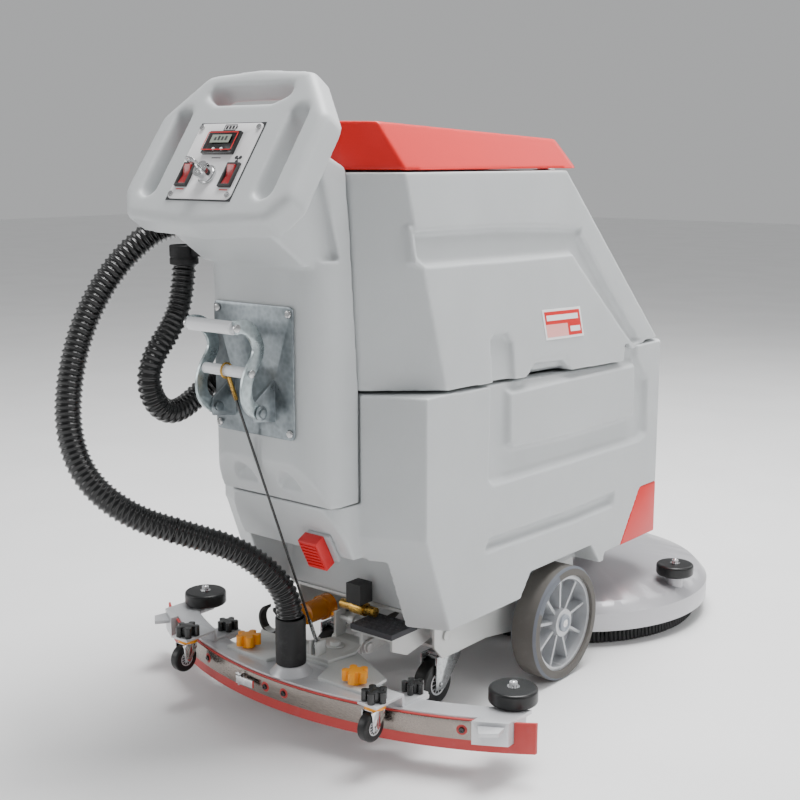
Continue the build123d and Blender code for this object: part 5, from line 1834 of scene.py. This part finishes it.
@dataclass
class Console:
    """The column with its handle, and the operator's panel.

    Attributes:
        voxel: the size of the column's first even mesh.
        field_half: half size of the flat field round the panel.
        neck_z, neck_rise: where the handle starts, and over what height it gets rounder.
        meter_up: the meter's middle, up the panel's slope.
        meter_half: the half width and half height of its red frame.
        meter_face: the meter's face above the panel's plane.
        line: the width of a printed line.
        corner: where the panel's screws stand, from its middle.
    """

    voxel: float = 3.0
    field_half: float = 70.0
    neck_z: float = 800.0
    neck_rise: float = 30.0
    meter_up: float = 28.0
    meter_half: Pair = (30.0, 15.0)
    meter_face: float = 9.4
    line: float = 1.2
    corner: float = 57.0

    def softness(self, point: Vector) -> float:
        """How much rounder the handle gets at a point.

        Args:
            point: in layout millimetres.

        Returns:
            From 0 below the neck and on the flat field to 1.
        """
        y, z = point.y - PANEL_Y, point.z - PANEL_Z
        up = y * math.sin(PANEL_LEAN) + z * math.cos(PANEL_LEAN)
        if point.z < self.neck_z or max(abs(point.x), abs(up)) < self.field_half:
            return 0.0
        return min(1.0, (point.z - self.neck_z) / self.neck_rise)

    def column(self) -> None:
        """Make the column and the black sockets on it."""
        parts = islands(frame_copy("console_column"))
        obj = Shell("column_shell", parts[0], Look.BODY, self.voxel, 6, 180000, [],
                    (self.softness, 20)).build()
        Piece(obj, "machine_body", ("console_column",), "grey_moulding").place()
        fittings = join("column_sockets", [(p, Look.CUFF) for p in parts[1:]])
        rounded(fittings, 1.2, 2)
        Piece(fittings, "machine_body", (), "rubber_black").place()

    def plate(self, x0: float, x1: float, low: float, high: float, out: float,
              thick: float) -> bmesh.types.BMesh:
        """A flat piece on the panel.

        Args:
            x0, x1: its sides.
            low, high: its ends, up the panel's slope.
            out: its base above the panel's plane.
            thick: its thickness.

        Returns:
            The bmesh.
        """
        bottom = [on_panel(x, up, out) for x, up in ((x0, low), (x1, low), (x1, high), (x0, high))]
        return prism(bottom, on_panel(0, 0, thick) - on_panel(0, 0, 0))

    def disc(self, x: float, up: float, out: float, radius: float, thick: float) -> bmesh.types.BMesh:
        """A round flat piece on the panel.

        Args:
            x, up: its middle.
            out: its base above the panel's plane.
            radius: its radius.
            thick: its thickness.

        Returns:
            The bmesh.
        """
        return rod(on_panel(x, up, out), on_panel(x, up, out + thick), radius, 0.1)

    def frame_of(self, half: float, low: float, high: float, out: float,
                 thick: float) -> List[bmesh.types.BMesh]:
        """Four printed lines round a field.

        Args:
            half: half the field's width.
            low, high: its ends, up the panel's slope.
            out: the lines' base above the panel's plane.
            thick: their thickness.

        Returns:
            The upper, lower, left and right line.
        """
        lines = ((-half, half, high - self.line, high), (-half, half, low, low + self.line),
                 (-half, self.line - half, low, high), (half - self.line, half, low, high))
        return [self.plate(*line, out, thick) for line in lines]

    def meter(self) -> List[Tuple[bmesh.types.BMesh, Look]]:
        """The meter's red frame, its window and four bars in it.

        Returns:
            Pairs of a bmesh and its finish.
        """
        half, rise = self.meter_half
        low = self.meter_face - 0.3
        parts = [(bm, Look.TRIM) for bm in
                 self.frame_of(half, self.meter_up - rise, self.meter_up + rise, low, 0.5)]
        parts.append((self.plate(-19, 19, self.meter_up - 3, self.meter_up + 10, low, 0.6), Look.LCD))
        foot = self.meter_up + 0.5
        for k, height in enumerate((5.0, 7.0, 6.0, 7.0)):
            bar = self.plate(7 * k - 12, 7 * k - 8, foot, foot + height, self.meter_face + 0.2, 0.25)
            parts.append((bar, Look.INK))
        return parts

    def battery_sign(self, out: float) -> List[bmesh.types.BMesh]:
        """A battery's outline with three bars.

        Args:
            out: its base above the panel's plane.

        Returns:
            The bmeshes.
        """
        parts = self.frame_of(12.0, 50.0, 60.0, out, 0.3)
        parts.append(self.plate(12, 14, 53, 57, out, 0.3))
        parts += [self.plate(6.4 * k - 9, 6.4 * k - 4.6, 52.4, 57.6, out, 0.3) for k in range(3)]
        return parts

    def fan_sign(self, x: float, up: float, out: float) -> List[bmesh.types.BMesh]:
        """A hub and three round blades.

        Args:
            x, up: the hub's middle.
            out: its base above the panel's plane.

        Returns:
            The bmeshes.
        """
        parts = [self.disc(x, up, out, 1.6, 0.4)]
        for k in range(3):
            turn = 2 * math.pi * k / 3 + 0.5
            parts.append(self.disc(x + 4.6 * math.cos(turn), up + 4.6 * math.sin(turn), out, 2.9, 0.3))
        return parts

    def marks(self) -> None:
        """Make the panel's gasket, the meter's face and the plain signs."""
        top = PANEL_T + 0.02
        parts = [(self.plate(-65, 65, -64, 64, 0.1, 0.6), Look.INK)] + self.meter()
        signs = self.battery_sign(top) + self.fan_sign(44.0, 3.0, top)
        signs.append(self.plate(-9, 9, 4.0, 4.0 + self.line, top, 0.3))
        parts += [(bm, Look.INK) for bm in signs]
        parts += [(self.plate(x - 8, x + 8, -47.5, -46, top, 0.3), Look.TRIM) for x in (-44, 44)]
        Piece(join("panel_marks", parts), "machine_body", (), "white_plastic").place()

    def build(self) -> None:
        """Make the column, the panel and its controls."""
        self.column()
        looks = (Look.WHITE, Look.GLOSS_BLACK, Look.CHROME, Look.BLACK, Look.BLACK)
        carried("control_panel",
                lambda spot, rank: looks[rank] if rank < len(looks) else Look.SCREW, 0.7, 3)
        self.marks()
        for _, name in SIDES:
            carry_all(((f"meter_button_{name}", Look.WHITE, 0.6, 3),
                       (f"rocker_{name}", Look.SWITCH_RED, 1.2, 4)))
        carried("key", Look.CHROME, 0.5)
        self.screw_slots()

    def screw_slots(self) -> None:
        """Make the cross slots of the panel's four screws."""
        parts = []
        for x, up in product((-self.corner, self.corner), repeat=2):
            for a, b in ((2.2, 0.45), (0.45, 2.2)):
                slot = self.plate(x - a, x + a, up - b, up + b, PANEL_T + 1.2, 0.25)
                parts.append((slot, Look.INK))
        Piece(join("panel_screw_crosses", parts), "machine_body", (), "steel").place()


# ---- running gear ----------------------------------------------------------------------------
CORE_RIBS = 12


def spoked_core(node: str, centre: Point, radius: float, half_width: float,
                repeat: Repeater) -> None:
    """Show a small wheel's pale core: a ring, ribs and a bearing on each face.

    Args:
        node: the wheel's CAD node and body.
        centre: the middle of the wheel.
        radius: the core's radius.
        half_width: half the wheel's width.
        repeat: the tree that repeats the ribs.
    """
    rings, ribs = [], []
    for side in (LEFT, RIGHT):
        out = way(side, 0, 0)
        face = axis_place(at(centre[0] + side * (half_width - 0.4), *centre[1:]), out)
        rings.append((lathe(closed([(radius, 0), (radius, 0.9), (radius * 0.86, 0.9),
                                    (radius * 0.86, 0)]), face, 40), Look.CAST))
        rings.append((lathe([(0, 0), (radius * 0.42, 0), (radius * 0.42, 1.0), (radius * 0.3, 1.2),
                             (0, 1.2)], face, 28), Look.CHROME))
        for k in range(CORE_RIBS):
            ribs.append(face @ Matrix.Rotation(2 * math.pi * k / CORE_RIBS, 4, "Z"))
    Piece(join(f"{node}_core", rings), node, (), "steel").place()
    rib = prism([way(radius * 0.4, -0.7, 0), way(radius * 0.88, -0.5, 0), way(radius * 0.88, 0.5, 0),
                 way(radius * 0.4, 0.7, 0)], way(0, 0, 0.8))
    Piece(repeat.build(f"{node}_ribs", rib, ribs, Look.CAST), node, (), "steel").place()


def roller_bolt(node: str, top: Point) -> None:
    """Top a roller with a washer and a domed nut.

    Args:
        node: the roller's CAD node and body.
        top: the middle of its upper face.
    """
    place = Matrix.Translation(at(*top))
    washer = lathe([(0, -0.5), (9.5, -0.5), (9.5, 0.9), (0, 0.9)], place, 28)
    nut = lathe([(0, 0.4), (6.6, 0.4), (6.6, 4.2), (5.2, 5.4), (4.6, 7.4), (2.6, 9.0), (0, 9.5)],
                place, 6)
    Piece(join(f"{node}_bolt", [(washer, Look.SCREW), (nut, Look.CHROME)]), node, (), "steel").place()


@dataclass
class RunningGear:
    """Chassis, drive wheels and castors.

    Attributes:
        wheel: the middle of the right wheel.
        hub_face: how far out the hub's flat face is.
        rim_r: where the tyre starts.
        flank: a tyre face that looks sideways more than this is its side.
        caster: the middle of the right castor's wheel.
        core_r, core_half: the radius and half the width of its core.
    """

    wheel: Point = (203.0, 8.0, 100.0)
    hub_face: float = 226.5
    rim_r: float = 84.5
    flank: float = 0.45
    caster: Point = (112.0, -219.0, 38.0)
    core_r: float = 20.0
    core_half: float = 13.0

    def tyre(self, spot: Vector, normal: Vector) -> Optional[Look]:
        """A drive wheel's finish at a face.

        Args:
            spot: the face's middle.
            normal: which way it looks.

        Returns:
            The tread or the side, or None on the hub.
        """
        if math.hypot(spot.y - self.wheel[1], spot.z - self.wheel[2]) <= self.rim_r:
            return None
        return Look.TYRE_SIDE if abs(normal.x) > self.flank else Look.TREAD

    def cap(self, side: int, name: str) -> None:
        """Make a wheel's hub cap.

        Args:
            side: which wheel.
            name: that side's name.
        """
        profile = [(0, -3), (15, -3), (15, 0.5), (14, 1.5), (10.5, 1.8), (9.5, 0.8), (4, 0.6), (0, 0.6)]
        base = at(side * (self.hub_face - 1.2), *self.wheel[1:])
        cap = lathe(profile, axis_place(base, way(side, 0, 0)))
        Piece(join(f"hub_cap_{name}", [(cap, Look.HUB_CAP)]), f"main_wheel_{name}", (), "tyre").place()

    def build(self, repeat: Repeater) -> None:
        """Make the frame, wheels, forks and castors.

        Args:
            repeat: the tree that repeats small pieces.
        """
        carry_all((("chassis_frame", Look.ZINC, 1.0), ("axle", Look.SCREW, 0.8)))
        for side, name in SIDES:
            carried(f"main_wheel_{name}",
                    lambda spot, rank: Look.TREAD if rank == 0 else Look.HUB, 2.4, 3, self.tyre)
            self.cap(side, name)
            carry_all(((f"caster_fork_{name}", Look.FORK, 1.0),
                       (f"caster_wheel_{name}", Look.ROLLER, 1.6, 3)))
            spoked_core(f"caster_wheel_{name}", (side * self.caster[0], *self.caster[1:]),
                        self.core_r, self.core_half, repeat)


# ---- squeegee --------------------------------------------------------------------------------
@dataclass
class Squeegee:
    """The raised squeegee, its lift linkage, knobs, castors and bumpers.

    Attributes:
        arc_y: the middle of the blades' arc.
        strap_r: radius of the steel strap's outer face.
        strap_z: the height of its middle.
        bolt_x: where the strap's bolts stand, right of the middle.
        foot: the middle of the right foot's wheel.
        foot_core, foot_half: the radius and half the width of its core.
        bumper, bumper_top: the right bumper roller's post, and its upper face.
        knob, knob_bolt_r: the right yellow knob's bolt, and its radius with room to spare.
        knob_z: where that bolt ends and the knob starts.
        collar_z: where a height knob's yellow collar ends.
    """

    arc_y: float = 218.0
    strap_r: float = 690.4
    strap_z: float = 77.0
    bolt_x: Sequence[float] = (20.0, 176.0, 308.0)
    foot: Point = (203.0, -480.0, 80.0)
    foot_core: float = 12.0
    foot_half: float = 8.0
    bumper: Pair = (336.0, -311.0)
    bumper_top: float = 121.0
    knob: Pair = (117.0, -415.0)
    knob_bolt_r: float = 7.0
    knob_z: float = 96.0
    collar_z: float = 111.7

    def knob_rule(self, side: int) -> FaceRule:
        """Steel for the bolt under a yellow knob.

        Args:
            side: which knob.

        Returns:
            The rule for its faces.
        """
        x, y = side * self.knob[0], self.knob[1]
        return lambda spot, normal: (Look.SCREW if spot.z < self.knob_z
                                     and math.hypot(spot.x - x, spot.y - y) < self.knob_bolt_r
                                     else None)

    def strap_bolts(self, repeat: Repeater) -> None:
        """Put black bolts on red pads along the strap.

        Args:
            repeat: the tree that repeats small pieces.
        """
        places = []
        for x, side in product(self.bolt_x, (LEFT, RIGHT)):
            lean = math.asin(side * x / self.strap_r)
            y = self.arc_y - self.strap_r * math.cos(lean)
            away = way(math.sin(lean), -math.cos(lean), 0).normalized()
            places.append(axis_place(at(side * x, y, self.strap_z), away))
        pad = lathe([(0, -1.5), (8.2, -1.5), (8.2, 0.7), (7.6, 1.2), (0, 1.2)], Matrix(), 20)
        head = lathe([(0, 0), (4.6, 0), (4.6, 3.2), (3.6, 4.2), (1.6, 4.2), (1.4, 3.2), (0, 3.2)],
                     Matrix(), 12)
        for name, piece, look in (("strap_bolt_pads", pad, Look.BLADE),
                                  ("strap_bolts", head, Look.GLOSS_BLACK)):
            Piece(repeat.build(name, piece, places, look), "squeegee", (), "steel").place()

    def build(self, repeat: Repeater) -> None:
        """Make the whole squeegee.

        Args:
            repeat: the tree that repeats small pieces.
        """
        looks = {0: Look.STRAP, 3: Look.CHROME}
        carry_all((("squeegee_beam", Look.CAST, 1.6, 3), ("squeegee_blades", Look.BLADE, 0.8),
                   ("beam_fittings", lambda spot, rank: looks.get(rank, Look.CAST), 1.0)))
        self.strap_bolts(repeat)
        carry_all((("toggle_lever", Look.CHROME, 1.0, 2,
                    lambda spot, normal: Look.TRIM if spot.x > -48 else None),
                   ("hose_cuff", Look.CUFF, 1.4, 3),
                   ("carrier_plate", Look.ZINC, 0.8, 2,
                    lambda spot, normal: Look.BLACK if spot.x < -95 and spot.z > 113 else None),
                   ("squeegee_yoke", Look.ZINC, 0.9), ("lift_arm", Look.ZINC, 0.9),
                   ("level_link", Look.ZINC, 0.9)))
        for side, name in SIDES:
            carry_all(((f"squeegee_knob_{name}", Look.YELLOW, 1.8, 3, self.knob_rule(side)),
                       (f"clamp_knob_{name}", Look.GLOSS_BLACK, 1.6, 3),
                       (f"height_knob_{name}", Look.GLOSS_BLACK, 1.3, 3,
                        lambda spot, normal: Look.YELLOW if spot.z < self.collar_z else None),
                       (f"foot_fork_{name}", Look.CHROME, 0.8),
                       (f"foot_wheel_{name}", Look.ROLLER, 1.2, 3)))
            spoked_core(f"foot_wheel_{name}", (side * self.foot[0], *self.foot[1:]),
                        self.foot_core, self.foot_half, repeat)
            carried(f"bumper_roller_{name}", Look.ROLLER, 0.0)
            roller_bolt(f"bumper_roller_{name}",
                        (side * self.bumper[0], self.bumper[1], self.bumper_top))


# ---- brush deck ------------------------------------------------------------------------------
@dataclass
class BrushDeck:
    """The round deck, its motor, brush, side rollers and pedal.

    Attributes:
        centre: the brush's axis.
        disc_r: the plastic disc's radius.
        bristle_rings: each ring's radius and number of tufts.
        bristle_low, bristle_high: the tufts' ends.
        roller, roller_top: the right roller's post, and its upper face.
        pad_x, pad_y, pad_top: where the pedal's first stud stands.
        pad_rows, pad_columns: how many studs it has.
    """

    centre: Pair = (0.0, 364.0)
    disc_r: float = 262.0
    bristle_rings: Sequence[Tuple[float, int]] = ((254.5, 190), (243.0, 150), (229.0, 120))
    bristle_low: float = 1.0
    bristle_high: float = 31.0
    roller: Pair = (252.0, 354.0)
    roller_top: float = 127.0
    pad_x: float = 45.0
    pad_y: float = -335.0
    pad_top: float = 156.4
    pad_rows: int = 6
    pad_columns: int = 8

    def brush(self, repeat: Repeater) -> None:
        """Make the brush: a plastic disc and rings of bristle tufts.

        Args:
            repeat: the tree that repeats small pieces.
        """
        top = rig.box("brush")[1].z * 1000
        base, rim = self.bristle_high - 6, self.bristle_high + 8
        profile = [(40, base), (self.disc_r, base), (self.disc_r, rim - 4), (self.disc_r - 6, rim),
                   (60, rim), (50, top), (40, top)]
        disc = lathe(closed(profile), Matrix.Translation(at(*self.centre, 0)), 96)
        Piece(join("brush_disc", [(disc, Look.BLACK)]), "brush", ("brush",), "brush_plastic").place()
        tall = self.bristle_high - self.bristle_low - 4
        tuft = lathe([(0, tall), (3.4, tall), (4.4, tall / 2), (5.8, 1.2), (4.6, 0), (0, 0)],
                     Matrix(), 7)
        places = []
        for ring, count in self.bristle_rings:
            for k in range(count):
                a = 2 * math.pi * k / count
                lean = 0.05 * math.sin(7.0 * k) + 0.04
                axis = way(-math.cos(a) * lean, -math.sin(a) * lean, 1)
                places.append(axis_place(at(ring * math.cos(a), self.centre[1] + ring * math.sin(a),
                                            self.bristle_low + 0.4), axis))
        bristles = repeat.build("brush_bristles", tuft, places, Look.BRISTLE)
        Piece(bristles, "brush", (), "brush_plastic").place()

    def build(self, repeat: Repeater) -> None:
        """Make the deck.

        Args:
            repeat: the tree that repeats small pieces.
        """
        carry_all((("deck_shroud", lambda spot, rank: Look.ZINC if rank else Look.DECK, 1.8, 3),
                   ("brush_motor", Look.BLACK, 1.0), ("deck_link", Look.ZINC, 0.9),
                   ("deck_tie", Look.ZINC, 0.9)))
        self.brush(repeat)
        for side, name in SIDES:
            carried(f"deck_roller_{name}", Look.ROLLER, 0.0)
            roller_bolt(f"deck_roller_{name}",
                        (side * self.roller[0], self.roller[1], self.roller_top))
        carried("deck_pedal", lambda spot, rank: Look.CASE if rank else Look.ZINC, 1.0)
        self.pad_studs(repeat)

    def pad_studs(self, repeat: Repeater) -> None:
        """Stud the pedal's pad with small diamonds.

        Args:
            repeat: the tree that repeats small pieces.
        """
        places = []
        for row, column in product(range(self.pad_rows), range(self.pad_columns)):
            x = self.pad_x + 10.2 * column + (4.0 if row % 2 else 0.0)
            places.append(Matrix.Translation(at(x, self.pad_y + 10.6 * row, self.pad_top))
                          @ Matrix.Rotation(math.pi / 4, 4, "Z"))
        stud = lathe([(0, 0), (4.4, 0), (3.4, 1.3), (0, 1.3)], Matrix(), 4)
        obj = repeat.build("pedal_studs", stud, places, Look.CASE)
        Piece(obj, "deck_pedal", (), "battery_case").place()


# ---- lever and services ----------------------------------------------------------------------
@dataclass
class Works:
    """The lifting lever with its plate and cable, the hinges and what is under the covers.

    Attributes:
        sleeve_half: a bar of the lever this near the middle plane is a sleeve.
        eye_low, eye_high: below and above these the cable's ends show.
        plug_y: the plug is behind this, its mount in front.
        bowl_x: the filter's bowl is left of this.
        ribs: how many ribs the plug has on each side of its middle one.
        rib_pitch: how far apart they are.
    """

    sleeve_half: float = 5.0
    eye_low: float = 150.0
    eye_high: float = 556.0
    plug_y: float = -435.0
    bowl_x: float = -20.0
    ribs: int = 3
    rib_pitch: float = 6.5

    def lever_look(self, spot: Vector, rank: int) -> Look:
        """Tell the lever's white sleeves from its arms and screws.

        Args:
            spot: the solid's middle.
            rank: its rank by size.

        Returns:
            The finish.
        """
        if abs(spot.x) < self.sleeve_half:
            return Look.SLEEVE
        return Look.ARM if rank < 3 else Look.SCREW

    def cable_look(self, spot: Vector, normal: Vector) -> Optional[Look]:
        """Tell the cable's brass top and steel eye from its black sleeve.

        Args:
            spot: the face's middle.
            normal: which way it looks; not used.

        Returns:
            The finish, or None on the sleeve.
        """
        if spot.z > self.eye_high:
            return Look.BRASS
        return Look.FORK if spot.z < self.eye_low else None

    def water_look(self, spot: Vector, rank: int) -> Look:
        """Tell the filter's amber bowl from the brass valve and its black coil.

        Args:
            spot: the solid's middle.
            rank: its rank by size.

        Returns:
            The finish.
        """
        if spot.x < self.bowl_x:
            return Look.AMBER
        return Look.BLACK if rank else Look.BRASS

    def plug_look(self, spot: Vector, rank: int) -> Look:
        """The red plug or the grey block behind it."""
        return Look.PLUG_RED if spot.y < self.plug_y else Look.GREY_BLOCK

    def plug_ribs(self) -> None:
        """Rib the charging plug's flat rear face."""
        plug = min(islands(frame_copy("charge_connector")), key=lambda part: middle(part).y)
        face = min(plug.faces, key=lambda f: f.normal.y)
        edges = sorted(face.edges, key=lambda e: e.calc_length())
        across = (edges[0].verts[1].co - edges[0].verts[0].co) * 0.42
        along = (edges[-1].verts[1].co - edges[-1].verts[0].co).normalized()
        centre, out = face.calc_center_median(), face.normal.normalized()
        thick = along * 0.0014
        parts = []
        for k in range(-self.ribs, self.ribs + 1):
            spot = centre + along * (k * self.rib_pitch / 1000) - out * 0.001
            corners = [spot - across - thick, spot + across - thick, spot + across + thick,
                       spot - across + thick]
            parts.append((prism(corners, out * 0.0028), Look.PLUG_RED))
        Piece(join("charge_plug_ribs", parts), "machine_body", (), "red_moulding").place()

    def build(self) -> None:
        """Make everything."""
        carry_all((
            ("latch_plate", lambda spot, rank: Look.SCREW if rank else Look.PLATE, 0.9),
            ("lift_lever", self.lever_look, 1.2, 3),
            ("lift_cable", Look.GLOSS_BLACK, 0.0, 2, self.cable_look),
            ("tank_hinges_fixed", Look.ZINC, 0.8), ("tank_hinges_moving", Look.ZINC, 0.8),
            ("batteries", Look.CASE, 2.5, 3), ("vacuum_motor", Look.BLACK, 1.2),
            ("strainer_basket", Look.WHITE, 1.0), ("charge_connector", self.plug_look, 1.6, 3),
            ("water_fittings", self.water_look, 1.2, 3)))
        self.plug_ribs()


def write_sizes() -> None:
    """Write the CAD model's box and the visual model's, for comparison."""
    made = [list(corner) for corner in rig.bounds()]
    with open("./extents.json", "w", encoding="utf-8") as sizes:
        json.dump({"cad": CAD_BOX, "visual": made}, sizes)


def main() -> None:
    """Build the scrubber's looks, from the camera and hoses to the smallest fittings."""
    studio = Studio()
    studio.camera()
    Hoses().build(HoseSkin())
    studio.build()
    repeat = Repeater()
    Tanks().build()
    Console().build()
    RunningGear().build(repeat)
    Squeegee().build(repeat)
    BrushDeck().build(repeat)
    Works().build()
    write_sizes()


if __name__ == "__main__":
    main()
